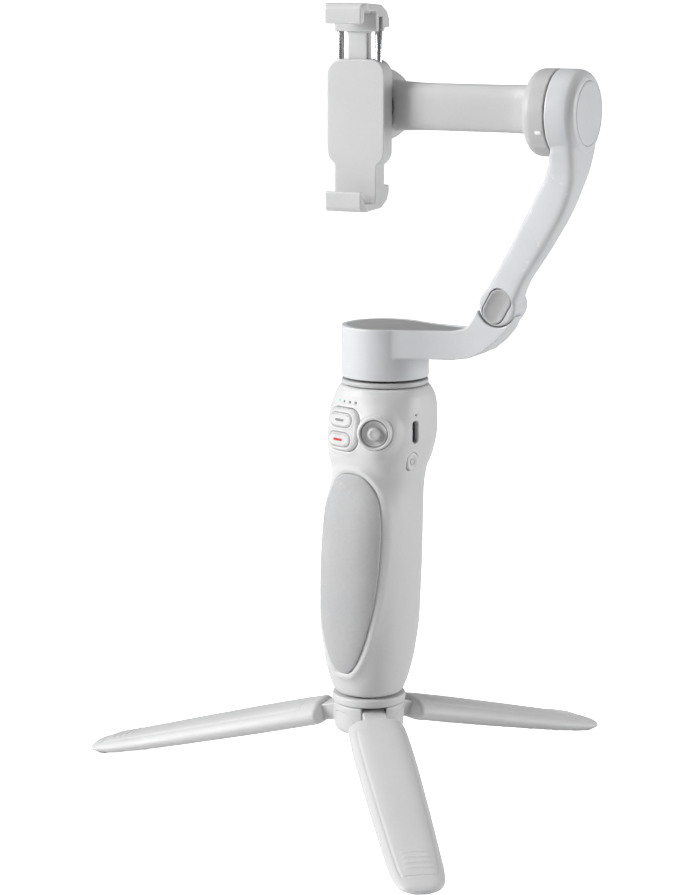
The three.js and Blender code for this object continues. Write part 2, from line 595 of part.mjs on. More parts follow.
add("clamp_upper_pad", upperPad, 0x8e8f91, 0.85, 0);
add("clamp_rod_left", drum(1.4, 270.5, phoneTop - 1.7, at(-rodX, rodY, 0), 20), 0xb9bbbd, 0.3, 1);
add("clamp_rod_right", drum(1.4, 270.5, phoneTop - 1.7, at(rodX, rodY, 0), 20), 0xb9bbbd, 0.3, 1);

class Coil extends THREE.Curve {
  getPoint(t, target = new THREE.Vector3()) {
    const angle = 2 * Math.PI * 11 * t;
    return target.set(1.35 * Math.cos(angle), rodY + 1.35 * Math.sin(angle), 260.2 + 20.2 * t);
  }
}
const wire = new THREE.Shape([0, 1, 2, 3].map((i) => (
  new THREE.Vector2(0.26 * Math.cos((Math.PI * i) / 2), 0.26 * Math.sin((Math.PI * i) / 2))
)));
add("clamp_spring", solid(new THREE.ExtrudeGeometry(wire, {
  steps: 88, extrudePath: new Coil(), bevelEnabled: false,
})), 0x9a9c9f, 0.3, 1);

// Tripod: hub, collar, screw and three folding legs
const tripodFrame = handleFrame.clone().multiply(at(0, gripY, 0));
const tripodCentre = new THREE.Vector3().setFromMatrixPosition(tripodFrame);
const legFrames = leg.turns.map((turn) => {
  const t = THREE.MathUtils.degToRad(turn);
  return pose(
    [tripodCentre.x + leg.pinRadius * Math.cos(t), tripodCentre.y + leg.pinRadius * Math.sin(t), leg.pinHeight],
    [Math.cos(t), Math.sin(t), 0],
    [-Math.sin(t), Math.cos(t), 0],
    [0, 0, 1],
  );
});
const centre = at(tripodCentre.x, tripodCentre.y, 0);
const tongueWidth = 9.4;
let tripodHub = turned([
  [0, hub.from + 1.6], [8, hub.from], [hub.radius - 2, hub.from], [hub.radius - 0.5, hub.from + 0.9], [hub.radius, hub.from + 2.6],
  [hub.radius, hub.to], [0, hub.to],
], centre, 36);
for (const frame of legFrames) {
  tripodHub = cut(
    tripodHub,
    box(-5.6, 12, -tongueWidth / 2 - gap, tongueWidth / 2 + gap, -12, hub.to - leg.pinHeight - 0.8, frame),
    box(-0.6, 12, -tongueWidth / 2 - gap, tongueWidth / 2 + gap, -12, 12, frame),
    drum(1.35, -6.8, 6.8, frame.clone().multiply(alongY(0, 0, 0)), 16),
  );
}
add("tripod_hub", cut(tripodHub, drum(3.0, 27, 40, centre, 24)), 0xc9c9c8, 0.55, 0);
add("tripod_collar", cut(
  turned([
    [0, hub.to + gap], [14.4, hub.to + gap], [15, hub.to + 0.9], [15, hub.to + 3.2], [14.4, hub.to + 3.8], [0, hub.to + 3.8],
  ], centre, 36),
  drum(4.0, 30, 45, centre, 24),
), 0xd2d2d1, 0.5, 0);
add("tripod_screw", join(drum(2.7, 27.4, 50, centre, 24), drum(3.7, 36.1, 39.2, centre, 24)), 0xa5a7aa, 0.3, 1);

const drop = Math.asin((leg.pinHeight - 1.2) / (leg.reach - leg.pinRadius));
const legLength = (leg.reach - leg.pinRadius) / Math.cos(drop);
const legStations = [
  // distance from the pin, half width, top, bottom
  [8.3, 10.3, 5.0, -3.4],
  [10.4, 11.7, 5.5, -3.9],
  [30, 12.2, 5.4, -3.9],
  [60, 11.8, 4.9, -3.7],
  [90, 11.0, 4.2, -3.3],
  [106, 10.4, 3.8, -2.5],
  [114, 9.3, 3.3, -1.3],
  [118, 7.4, 2.8, -0.4],
  [legLength + 0.6, 4.2, 1.9, 0.2],
];
const legRings = legStations.map(([s, w, top, bottom]) => [
  [-0.82 * w, bottom], [0.82 * w, bottom], [w, bottom + 0.28 * (top - bottom)], [w, bottom + 0.52 * (top - bottom)],
  [0.86 * w, bottom + 0.82 * (top - bottom)], [0.45 * w, top - 0.12], [0, top], [-0.45 * w, top - 0.12],
  [-0.86 * w, bottom + 0.82 * (top - bottom)], [-w, bottom + 0.52 * (top - bottom)], [-w, bottom + 0.28 * (top - bottom)],
].map(([y, z]) => new THREE.Vector3(s, y, z)));
const tongueProfile = [
  [9, -3.0], [9, 3.7], [3, 3.7], [0, 3.6], [-2.6, 2.4], [-3.5, 0], [-2.6, -2.6], [0, -3.6], [4, -3.4],
];
const legBody = join(
  loft(legRings),
  slab(tongueProfile, -tongueWidth / 2, tongueWidth / 2, pose([0, 0, 0], [1, 0, 0], [0, 0, 1], [0, -1, 0])),
);
const pocketEnds = [12, 28, 44, 60, 76, 92, 104];
const legPockets = pocketEnds.slice(1).map((end, i) => {
  const start = pocketEnds[i] + 1;
  const half = 9.2 - 0.018 * end;
  return box(start, end - 1, -half, half, -8, 2.4 - 0.018 * end);
});
const padBlock = (grow) => box(105 - grow, 117 + grow, -6.6 - grow, 6.6 + grow, -6, -1.1 + grow);
const legShape = cut(legBody, ...legPockets, padBlock(gap), drum(1.35, -6.8, 6.8, alongY(0, 0, 0), 16));
const padShape = padBlock(0);
legFrames.forEach((frame, i) => {
  const lean = frame.clone().multiply(new THREE.Matrix4().makeRotationY(drop));
  const number = i + 1;
  add(`leg_${number}`, cut(legShape, box(90, 140, -30, 30, -20, -2.2)), 0xdadad9, 0.5, 0, lean);
  add(`leg_${number}_pin`, drum(1.15, -6.4, 6.4, alongY(0, 0, 0), 16), 0xa5a7aa, 0.3, 1, frame);
});
legFrames.forEach((frame, i) => {
  const lean = frame.clone().multiply(new THREE.Matrix4().makeRotationY(drop));
  const ground = box(-400, 400, -400, 400, -50, 0, lean.clone().invert());
  add(`leg_${i + 1}_foot`, cut(padShape, ground), 0x6d6e70, 0.9, 0, lean);
});

// Origin under the middle of the whole part
const bounds = new THREE.Box3().setFromObject(group);
const middle = bounds.getCenter(new THREE.Vector3());
for (const piece of group.children) {
  piece.geometry.translate(-middle.x, -middle.y, -bounds.min.z);
}

export default group;
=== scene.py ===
import bmesh
import bpy
import json
import math
import numpy as np
from mathutils import Matrix, Vector


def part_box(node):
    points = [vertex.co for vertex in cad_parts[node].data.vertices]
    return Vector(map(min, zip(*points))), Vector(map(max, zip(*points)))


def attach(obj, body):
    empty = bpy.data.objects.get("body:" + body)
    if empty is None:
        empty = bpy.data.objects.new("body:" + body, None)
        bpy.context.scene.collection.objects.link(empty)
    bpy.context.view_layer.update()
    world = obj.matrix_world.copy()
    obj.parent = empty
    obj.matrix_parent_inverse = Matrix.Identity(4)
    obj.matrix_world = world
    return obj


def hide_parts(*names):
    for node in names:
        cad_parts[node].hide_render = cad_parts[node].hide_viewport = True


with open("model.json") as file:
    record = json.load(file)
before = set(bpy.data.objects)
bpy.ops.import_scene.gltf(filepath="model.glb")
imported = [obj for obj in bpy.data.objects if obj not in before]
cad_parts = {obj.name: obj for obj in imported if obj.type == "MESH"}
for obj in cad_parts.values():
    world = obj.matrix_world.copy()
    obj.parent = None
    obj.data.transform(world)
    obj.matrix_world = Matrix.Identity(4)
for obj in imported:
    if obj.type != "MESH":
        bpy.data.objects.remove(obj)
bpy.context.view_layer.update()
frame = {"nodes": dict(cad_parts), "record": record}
print("frame loaded:", len(frame["nodes"]), "nodes")

# Working values are millimetres from the pan axis at floor level
low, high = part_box("pan_base")
shift = np.array([(low[0] + high[0]) / 2, (low[1] + high[1]) / 2, 0.0]) * 1000


def toWorld(points):
    return (np.asarray(points, float).reshape(-1, 3) + shift) / 1000


# ---- numbers ----
def smoothCurve(xs, ys):
    # monotone cubic through the given stations
    xs, ys = np.asarray(xs, float), np.asarray(ys, float)
    h = np.diff(xs)
    d = np.diff(ys) / h
    m = np.zeros_like(ys)
    m[0], m[-1] = d[0], d[-1]
    for i in range(1, len(xs) - 1):
        if d[i - 1] * d[i] > 0:
            w1, w2 = 2 * h[i] + h[i - 1], h[i] + 2 * h[i - 1]
            m[i] = (w1 + w2) / (w1 / d[i - 1] + w2 / d[i])

    def value(x):
        x = np.clip(np.asarray(x, float), xs[0], xs[-1])
        i = np.clip(np.searchsorted(xs, x, side="right") - 1, 0, len(xs) - 2)
        t = (x - xs[i]) / h[i]
        a, b = ys[i], ys[i + 1]
        return ((2 * t**3 - 3 * t**2 + 1) * a + (t**3 - 2 * t**2 + t) * h[i] * m[i]
                + (-2 * t**3 + 3 * t**2) * b + (t**3 - t**2) * h[i] * m[i + 1])
    return value


def step(x, a, b):
    t = np.clip((np.asarray(x, float) - a) / (b - a), 0, 1)
    return t * t * (3 - 2 * t)


def makeFrame(origin, x, y, z):
    return np.array(origin, float), np.array([x, y, z], float)


def apply(placeAt, points):
    origin, axes = placeAt
    return origin + np.asarray(points, float).reshape(-1, 3) @ axes


def alongX(x, y, z):
    return makeFrame((x, y, z), (0, 1, 0), (0, 0, 1), (1, 0, 0))


def alongY(x, y, z):
    return makeFrame((x, y, z), (0, 0, 1), (1, 0, 0), (0, 1, 0))


def alongZ(x, y, z):
    return makeFrame((x, y, z), (1, 0, 0), (0, 1, 0), (0, 0, 1))


def towardFront(x, y, z):
    return makeFrame((x, y, z), (1, 0, 0), (0, 0, 1), (0, -1, 0))


# ---- meshes ----
def linked(name, data):
    obj = bpy.data.objects.new(name, data)
    bpy.context.scene.collection.objects.link(obj)
    return obj


def meshObject(name, points, faces):
    mesh = bpy.data.meshes.new(name)
    mesh.from_pydata([tuple(p) for p in toWorld(points)], [], faces)
    mesh.validate()
    mesh.update()
    mesh.polygons.foreach_set("use_smooth", [True] * len(mesh.polygons))
    return linked(name, mesh)


def fixNormals(obj):
    bm = bmesh.new()
    bm.from_mesh(obj.data)
    bmesh.ops.recalc_face_normals(bm, faces=bm.faces)
    bm.to_mesh(obj.data)
    bm.free()
    return obj


def loft(name, rings, capStart=True, capEnd=True):
    # a skin over rings of equal length
    rings = [np.asarray(r, float) for r in rings]
    count = len(rings[0])
    faces = []
    for level in range(len(rings) - 1):
        a = level * count
        for i in range(count):
            j = (i + 1) % count
            faces.append((a + i, a + j, a + count + j, a + count + i))
    if capStart:
        faces.append(tuple(reversed(range(count))))
    if capEnd:
        top = (len(rings) - 1) * count
        faces.append(tuple(range(top, top + count)))
    return fixNormals(meshObject(name, np.concatenate(rings), faces))


def rounded(profile, radius, steps=5):
    # fillets the inner corners of an open [r, z] profile
    pts = [np.array(p, float) for p in profile]
    out = [pts[0]]
    for before, here, after in zip(pts, pts[1:], pts[2:]):
        a, b = before - here, after - here
        la, lb = np.linalg.norm(a), np.linalg.norm(b)
        cut = min(radius, la * 0.45, lb * 0.45)
        start, end = here + a / la * cut, here + b / lb * cut
        for k in range(steps + 1):
            t = k / steps
            out.append((1 - t) ** 2 * start + 2 * t * (1 - t) * here + t * t * end)
    out.append(pts[-1])
    return out


def turned(name, profile, placeAt, segments=96, radius=0.0):
    pts = rounded(profile, radius) if radius else [np.array(p, float) for p in profile]
    rings = []
    angles = np.arange(segments) * 2 * math.pi / segments
    for r, z in pts:
        r = max(r, 1e-3)
        flat = np.stack([r * np.cos(angles), r * np.sin(angles), np.full(segments, z)], 1)
        rings.append(apply(placeAt, flat))
    return loft(name, rings)


def roundRect(width, height, radius, count=64):
    # even points round a rectangle with round corners
    radius = min(radius, width / 2 - 1e-3, height / 2 - 1e-3)
    w, h = width / 2 - radius, height / 2 - radius
    length = 4 * (w + h) + 2 * math.pi * radius
    points = []
    for k in range(count):
        s = length * k / count
        for side, (cx, cy, a) in enumerate([(w, h, 0), (-w, h, 90), (-w, -h, 180), (w, -h, 270)]):
            arc = math.pi * radius / 2
            line = 2 * (w if side % 2 == 0 else h)
            if s <= arc:
                t = math.radians(a) + s / radius
                points.append((cx + radius * math.cos(t), cy + radius * math.sin(t)))
                break
            s -= arc
            if s <= line:
                t = math.radians(a + 90)
                dx, dy = ((-1, 0), (0, -1), (1, 0), (0, 1))[side]
                points.append((cx + radius * math.cos(t) + dx * s, cy + radius * math.sin(t) + dy * s))
                break
            s -= line
    return np.array(points)


def pillow(name, sizes, placeAt, count=72):
    # stacked rounded rectangles: (width, height, radius, level)
    rings = []
    for width, height, radius, level in sizes:
        flat = roundRect(width, height, radius, count)
        rings.append(apply(placeAt, np.column_stack([flat, np.full(len(flat), level)])))
    return loft(name, rings)


def evaluated(obj):
    graph = bpy.context.evaluated_depsgraph_get()
    graph.update()
    return bpy.data.meshes.new_from_object(obj.evaluated_get(graph))


def drop(*objs):
    for o in objs:
        mesh = o.data
        bpy.data.objects.remove(o, do_unlink=True)
        if mesh and mesh.users == 0:
            bpy.data.meshes.remove(mesh)


def meld(name, solids, cutters=(), voxel=0.4, rounds=5, cutLast=()):
    # joins the solids, cuts, and softens every edge by remeshing
    base = solids[0]
    for kind, tools in (("UNION", solids[1:]), ("DIFFERENCE", cutters)):
        for tool in tools:
            m = base.modifiers.new(kind, "BOOLEAN")
            m.operation, m.object, m.solver = kind, tool, "EXACT"
    if voxel:
        m = base.modifiers.new("remesh", "REMESH")
        m.mode, m.voxel_size, m.use_smooth_shade = "VOXEL", voxel / 1000, True
        m = base.modifiers.new("soften", "SMOOTH")
        m.factor, m.iterations = 0.5, rounds
    for tool in cutLast:
        m = base.modifiers.new("late", "BOOLEAN")
        m.operation, m.object, m.solver = "DIFFERENCE", tool, "EXACT"
    mesh = evaluated(base)
    drop(*solids, *cutters, *cutLast)
    mesh.name = name
    mesh.polygons.foreach_set("use_smooth", [True] * len(mesh.polygons))
    return linked(name, mesh)


def finishPiece(obj, material, body, nodes=()):
    obj.data.materials.clear()
    obj.data.materials.append(material)
    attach(obj, body)
    if nodes:
        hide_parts(*nodes)
    return obj


# ---- shader groups ----
def newGroup(name, inputs, outputs):
    group = bpy.data.node_groups.new(name, "ShaderNodeTree")
    for label, kind, default in inputs:
        group.interface.new_socket(name=label, in_out="INPUT", socket_type=kind).default_value = default
    for label, kind in outputs:
        group.interface.new_socket(name=label, in_out="OUTPUT", socket_type=kind)
    return group, group.nodes.new("NodeGroupInput"), group.nodes.new("NodeGroupOutput")


def noiseNode(tree, scale, detail=2.0, roughness=0.5):
    n = tree.nodes.new("ShaderNodeTexNoise")
    n.inputs["Scale"].default_value = scale
    n.inputs["Detail"].default_value = detail
    n.inputs["Roughness"].default_value = roughness
    return n


def mathNode(tree, operation, a=None, b=None, clamp=False):
    n = tree.nodes.new("ShaderNodeMath")
    n.operation, n.use_clamp = operation, clamp
    for i, v in enumerate((a, b)):
        if v is None:
            continue
        if isinstance(v, (int, float)):
            n.inputs[i].default_value = v
        else:
            tree.links.new(v, n.inputs[i])
    return n.outputs[0]


def rangeNode(tree, value, fromLow, fromHigh, toLow, toHigh):
    n = tree.nodes.new("ShaderNodeMapRange")
    tree.links.new(value, n.inputs["Value"])
    for label, v in (("From Min", fromLow), ("From Max", fromHigh), ("To Min", toLow), ("To Max", toHigh)):
        if isinstance(v, (int, float)):
            n.inputs[label].default_value = v
        else:
            tree.links.new(v, n.inputs[label])
    return n.outputs[0]


def mixColour(tree, factor, a, b, mode="MIX"):
    n = tree.nodes.new("ShaderNodeMix")
    n.data_type, n.blend_type = "RGBA", mode
    for socket, v in ((n.inputs[0], factor), (n.inputs[6], a), (n.inputs[7], b)):
        if isinstance(v, (int, float)):
            socket.default_value = v
        elif isinstance(v, tuple):
            socket.default_value = v if len(v) == 4 else (*v, 1)
        else:
            tree.links.new(v, socket)
    return n.outputs[2]


def buildMouldedGroup():
    # spark texture of a moulded skin, with soft cloudiness, handling marks, and convex edges painted lighter as a
    # highlight
    group, inside, outside = newGroup("mouldedSkin", [
        ("Colour", "NodeSocketColor", (0.8, 0.8, 0.8, 1)),
        ("Cloud", "NodeSocketFloat", 0.04),
        ("Grain Scale", "NodeSocketFloat", 2600.0),
        ("Grain", "NodeSocketFloat", 1.0),
        ("Roughness", "NodeSocketFloat", 0.5),
        ("Smudge", "NodeSocketFloat", 0.08),
        ("Edge", "NodeSocketFloat", 0.05),
    ], [("Colour", "NodeSocketColor"), ("Roughness", "NodeSocketFloat"), ("Height", "NodeSocketFloat")])
    coords = group.nodes.new("ShaderNodeTexCoord").outputs["Object"]
    cloud = noiseNode(group, 42, 4, 0.55)
    fine = noiseNode(group, 900, 2, 0.6)
    grain = noiseNode(group, 2600, 2.5, 0.6)
    group.links.new(inside.outputs["Grain Scale"], grain.inputs["Scale"])
    smudge = noiseNode(group, 75, 5, 0.62)
    smudge.inputs["Distortion"].default_value = 0.8
    for n in (cloud, fine, grain, smudge):
        group.links.new(coords, n.inputs["Vector"])
    darker = mixColour(group, 1.0, inside.outputs["Colour"], (0.86, 0.87, 0.89), "MULTIPLY")
    clouding = rangeNode(group, cloud.outputs["Fac"], 0.35, 0.7, 0.0, 1.0)
    specks = rangeNode(group, fine.outputs["Fac"], 0.4, 0.65, 0.0, 0.6)
    amount = mathNode(group, "MULTIPLY", clouding, inside.outputs["Cloud"])
    speck = mathNode(group, "MULTIPLY", specks, inside.outputs["Cloud"])
    tinted = mixColour(group, mathNode(group, "ADD", amount, speck, True), inside.outputs["Colour"], darker)
    # convex edges: colour painted lighter, towards near-white, as a painted edge highlight; the same mask lowers
    # roughness there as edge wear
    point = group.nodes.new("ShaderNodeNewGeometry").outputs["Pointiness"]
    edgeWearAndHighlight = mathNode(group, "MULTIPLY", rangeNode(group, point, 0.505, 0.56, 0.0, 1.0), inside.outputs["Edge"])
    lit = mixColour(group, edgeWearAndHighlight, tinted, (0.93, 0.93, 0.92))
    group.links.new(lit, outside.inputs["Colour"])
    handled = rangeNode(group, smudge.outputs["Fac"], 0.42, 0.66, -1.0, 1.0)
    rub = mathNode(group, "MULTIPLY", handled, inside.outputs["Smudge"])
    dull = mathNode(group, "ADD", inside.outputs["Roughness"], rub)
    rough = mathNode(group, "SUBTRACT", dull, mathNode(group, "MULTIPLY", edgeWearAndHighlight, 0.8), True)
    group.links.new(rough, outside.inputs["Roughness"])
    height = mathNode(group, "MULTIPLY", grain.outputs["Fac"], inside.outputs["Grain"])
    group.links.new(height, outside.inputs["Height"])
    return group


def buildMetalGroup():
    # lathe marks round an axis, with soft darker blots
    group, inside, outside = newGroup("turnedMetal", [
        ("Colour", "NodeSocketColor", (0.6, 0.6, 0.6, 1)),
        ("Roughness", "NodeSocketFloat", 0.3),
        ("Marks", "NodeSocketFloat", 0.5),
    ], [("Colour", "NodeSocketColor"), ("Roughness", "NodeSocketFloat"), ("Height", "NodeSocketFloat")])
    coords = group.nodes.new("ShaderNodeTexCoord").outputs["Object"]
    scaled = group.nodes.new("ShaderNodeMapping")
    scaled.inputs["Scale"].default_value = (60, 60, 2200)
    group.links.new(coords, scaled.inputs["Vector"])
    lines = noiseNode(group, 1.0, 3, 0.6)
    group.links.new(scaled.outputs["Vector"], lines.inputs["Vector"])
    blots = noiseNode(group, 180, 3, 0.5)
    group.links.new(coords, blots.inputs["Vector"])
    darker = mixColour(group, 1.0, inside.outputs["Colour"], (0.72, 0.72, 0.74), "MULTIPLY")
    blotting = rangeNode(group, blots.outputs["Fac"], 0.35, 0.7, 0.0, 0.7)
    group.links.new(mixColour(group, blotting, inside.outputs["Colour"], darker), outside.inputs["Colour"])
    spread = rangeNode(group, lines.outputs["Fac"], 0.3, 0.7, -0.12, 0.12)
    rough = mathNode(group, "ADD", inside.outputs["Roughness"], spread, True)
    group.links.new(rough, outside.inputs["Roughness"])
    height = mathNode(group, "MULTIPLY", lines.outputs["Fac"], inside.outputs["Marks"])
    group.links.new(height, outside.inputs["Height"])
    return group


mouldedGroup = buildMouldedGroup()
metalGroup = buildMetalGroup()
print("shader groups built")


def baseMaterial(name):
    material = bpy.data.materials.new(name)
    material.use_nodes = True
    tree = material.node_tree
    shader = tree.nodes["Principled BSDF"]
    return material, tree, shader


def withBump(tree, shader, height, strength, distance):
    bump = tree.nodes.new("ShaderNodeBump")
    bump.inputs["Strength"].default_value = strength
    bump.inputs["Distance"].default_value = distance / 1000
    tree.links.new(height, bump.inputs["Height"])
    tree.links.new(bump.outputs["Normal"], shader.inputs["Normal"])


def withGroup(tree, shader, group, values):
    node = tree.nodes.new("ShaderNodeGroup")
    node.node_tree = group
    for label, value in values.items():
        node.inputs[label].default_value = value
    tree.links.new(node.outputs["Colour"], shader.inputs["Base Color"])
    tree.links.new(node.outputs["Roughness"], shader.inputs["Roughness"])
    return node.outputs["Height"]


def moulded(name, colour, roughness=0.5, grain=1.0, grainScale=2600, cloud=0.3, smudge=0.06, edge=0.25,
            bump=0.25, depth=0.03, coat=0.0, specular=0.5, sheen=0.0):
    material, tree, shader = baseMaterial(name)
    height = withGroup(tree, shader, mouldedGroup, {
        "Colour": (*colour, 1), "Cloud": cloud, "Grain Scale": grainScale, "Grain": grain,
        "Roughness": roughness, "Smudge": smudge, "Edge": edge})
    withBump(tree, shader, height, bump, depth)
    shader.inputs["Coat Weight"].default_value = coat
    shader.inputs["Specular IOR Level"].default_value = specular
    shader.inputs["Sheen Weight"].default_value = sheen
    return material


def metal(name, colour, roughness=0.3, marks=0.5, bump=0.15):
    material, tree, shader = baseMaterial(name)
    height = withGroup(tree, shader, metalGroup, {"Colour": (*colour, 1), "Roughness": roughness, "Marks": marks})
    shader.inputs["Metallic"].default_value = 1.0
    withBump(tree, shader, height, bump, 0.02)
    return material


def glowing(name, colour, strength):
    material, tree, shader = baseMaterial(name)
    noise = noiseNode(tree, 900, 2)
    coords = tree.nodes.new("ShaderNodeTexCoord").outputs["Object"]
    tree.links.new(coords, noise.inputs["Vector"])
    tinted = mixColour(tree, noise.outputs["Fac"], tuple(c * 0.8 for c in colour), colour)
    tree.links.new(tinted, shader.inputs["Base Color"])
    tree.links.new(tinted, shader.inputs["Emission Color"])
    shader.inputs["Emission Strength"].default_value = strength
    shader.inputs["Roughness"].default_value = 0.25
    return material


shellWhite = moulded("shellWhite", (0.64, 0.64, 0.64), roughness=0.5, cloud=0.22, bump=0.12, depth=0.02)
armWhite = moulded("armWhite", (0.62, 0.625, 0.645), roughness=0.52, cloud=0.2, bump=0.10, depth=0.02)
stickWhite = moulded("stickWhite", (0.54, 0.54, 0.54), roughness=0.45, cloud=0.2, bump=0.1)
keyWhite = moulded("keyWhite", (0.66, 0.66, 0.655), roughness=0.36, cloud=0.15, bump=0.06, depth=0.02)
gripGrey = moulded("gripGrey", (0.46, 0.46, 0.462), roughness=0.68, grainScale=1500, cloud=0.5, smudge=0.1,
                   edge=0.1, bump=0.5, depth=0.06, specular=0.35, sheen=0.15)
trimGrey = moulded("trimGrey", (0.38, 0.38, 0.385), roughness=0.5, cloud=0.35, bump=0.15, depth=0.03)
# mid grey: the pan ring's colour, and on the tilt bracket painted shade, its white plastic darkened as if in shadow
greyAndBracketShade = moulded("greyAndBracketShade", (0.52, 0.52, 0.52), roughness=0.45, cloud=0.25, bump=0.12, depth=0.02)
clampWhite = moulded("clampWhite", (0.58, 0.58, 0.58), roughness=0.4, cloud=0.25, bump=0.1, depth=0.02)
footRubber = moulded("footRubber", (0.10, 0.10, 0.102), roughness=0.75, grainScale=1300, cloud=0.6, bump=0.6,
                     depth=0.08, specular=0.3)
printGrey = moulded("printGrey", (0.25, 0.25, 0.255), roughness=0.5, cloud=0.2, bump=0.03)
markRed = moulded("markRed", (0.62, 0.03, 0.035), roughness=0.4, cloud=0.3, bump=0.03)
markWhite = moulded("markWhite", (0.85, 0.85, 0.85), roughness=0.35, cloud=0.15, bump=0.03)
# near-black: the dark insides of the socket, and painted shade at the bottom of the joystick well
darkGap = moulded("darkGap", (0.025, 0.025, 0.027), roughness=0.6, cloud=0.3, bump=0.1)
steel = metal("steel", (0.56, 0.57, 0.58), 0.28)
rodMetal = metal("rodMetal", (0.66, 0.67, 0.68), 0.32)
magnetMetal = metal("magnetMetal", (0.30, 0.31, 0.32), 0.4)
copperWire = metal("copperWire", (0.70, 0.32, 0.16), 0.35, 0.9, 0.4)
brassMetal = metal("brassMetal", (0.72, 0.52, 0.25), 0.3)
boardGreen = moulded("boardGreen", (0.02, 0.12, 0.06), roughness=0.35, cloud=0.6, bump=0.1, coat=0.3)
cellFilm = moulded("cellFilm", (0.03, 0.05, 0.10), roughness=0.3, cloud=0.4, bump=0.05, coat=0.4)
lightOn = glowing("lightOn", (0.10, 0.62, 0.30), 0.5)
lightOff = moulded("lightOff", (0.07, 0.075, 0.08), roughness=0.25, cloud=0.2, bump=0.02)
print("materials built")

slotMaterials = {
    "shell_white": shellWhite, "key_white": keyWhite, "grip_grey": gripGrey, "trim_grey": trimGrey,
    "foot_rubber": footRubber, "steel": steel, "rod_aluminium": rodMetal, "copper": copperWire, "brass": brassMetal,
    "board_green": boardGreen, "cell_blue": cellFilm, "light_guide": lightOff, "mark_white": markWhite,
}
for row in frame["record"]["subparts"]:
    node = frame["nodes"][row["node"]]
    node.data.materials.clear()
    node.data.materials.append(slotMaterials[row["material_slot"]])
for name in ("pan_magnet_ring", "tilt_magnet_ring"):
    frame["nodes"][name].data.materials[0] = magnetMetal

# ---- handle ----
handle = {
    "turn": -10.0, "gripY": -10.5,
    "heights": [40, 42.5, 48, 56, 73, 94, 115, 126, 132, 138, 147, 156, 162, 166],
    "centreY": [-10.5, -10.5, -10.5, -10.2, -9.4, -8.4, -6.8, -4.7, -3.8, -3.0, -1.8, -0.9, 0, 0],
    "halfWidth": [13.4, 14.6, 16.2, 17.5, 18.6, 18.9, 18.4, 17.7, 18.1, 19.5, 20.5, 20.4, 19.6, 18.0],
    "halfDepth": [13.4, 14.8, 16.6, 18.1, 19.3, 19.3, 18.7, 17.7, 18.0, 19.7, 20.3, 20.2, 19.6, 18.0],
    "square": [2.0, 2.05, 2.15, 2.3, 2.5, 2.5, 2.5, 2.5, 2.5, 2.6, 2.7, 2.5, 2.2, 2.0],
}
centreOf, widthOf, depthOf, squareOf = (
    smoothCurve(handle["heights"], handle[k]) for k in ("centreY", "halfWidth", "halfDepth", "square"))
turnAngle = math.radians(handle["turn"])
turnMatrix = np.array([[math.cos(turnAngle), math.sin(turnAngle), 0],
                       [-math.sin(turnAngle), math.cos(turnAngle), 0], [0, 0, 1]])  # rows are local axes in the part


def fromHandle(points):
    return np.asarray(points, float).reshape(-1, 3) @ turnMatrix


def skinPoint(angle, height, lift=0.0):
    # angle from the front towards +X, in radians, in the handle's own frame
    angle, height = np.broadcast_arrays(np.asarray(angle, float), np.asarray(height, float))
    s, c = np.sin(angle), np.cos(angle)
    p = squareOf(height)
    reach = (np.abs(s / widthOf(height)) ** p + np.abs(c / depthOf(height)) ** p) ** (-1 / p) + lift
    return np.stack([reach * s, centreOf(height) - reach * c, height], -1)


def skinFrame(angle, height, depth=0.0):
    t = math.radians(angle)
    origin = skinPoint(t, height, depth)
    axes = np.array([[math.cos(t), math.sin(t), 0], [0, 0, 1], [math.sin(t), -math.cos(t), 0]])
    return origin, axes


def turnedFrame(placeAt):
    # a frame of the handle, in the part's axes
    origin, axes = placeAt
    return fromHandle(origin)[0], axes @ turnMatrix


def local(placeAt, points):
    origin, axes = placeAt
    return (points - origin) @ axes.T


def onSkin(placeAt, angle, u, v):
    # the skin under (u, v) of a frame at that angle
    t0 = math.radians(angle)
    height = placeAt[0][2] + v
    t = t0 + np.asarray(u, float) / 20
    for _ in range(6):
        found = local(placeAt, skinPoint(t, height))[..., 0]
        t = t + (u - found) / 20
    return t, height


keys = {
    "panel": {"angle": -14.5, "height": 149.6, "size": (16.8, 17.0, 5.0), "lift": 1.45},
    "button": {"size": (10.8, 5.6, 2.75), "apart": 3.9, "lift": 1.85},
    "stick": {"angle": 29, "height": 149.6},
    "socket": {"angle": 76, "height": 149, "recess": (3.3, 9.1, 1.6)},
    "charge": {"angle": 76, "height": 155.8},
    "power": {"angle": 78, "height": 137, "recess": (6.2, 7.6, 3.1)},
    "zoom": {"angle": -90, "height": 148, "recess": (6.9, 14.9, 3.2)},
    "trigger": {"angle": 180, "height": 143, "recess": (10.9, 18.9, 3.0)},
    "lights": {"angles": (-26, -17, -8, 1), "height": 160.4},
}
places = {name: skinFrame(k["angle"], k["height"]) for name, k in keys.items() if "angle" in k}


def rectDistance(u, v, width, height, radius):
    qx = np.abs(u) - width / 2 + radius
    qy = np.abs(v) - height / 2 + radius
    return np.hypot(np.maximum(qx, 0), np.maximum(qy, 0)) + np.minimum(np.maximum(qx, qy), 0) - radius


def nearFace(points, placeAt, size=None):
    # distance from a rounded rectangle, or from a middle, on the near side of the handle
    u, v, n = np.moveaxis(local(placeAt, points), -1, 0)
    return np.where(n > -9, rectDistance(u, v, *size) if size else np.hypot(u, v), 50)


def evenly(path, count):
    # a closed outline at equal steps
    closed = np.vstack([path, path[:1]])
    length = np.concatenate([[0], np.cumsum(np.linalg.norm(np.diff(closed, axis=0), axis=1))])
    s = np.arange(count) * length[-1] / count
    return np.stack([np.interp(s, length, closed[:, k]) for k in range(2)], 1)


def softened(path, rounds):
    for _ in range(rounds):
        path = (np.roll(path, 1, 0) + 2 * path + np.roll(path, -1, 0)) / 4
    return path


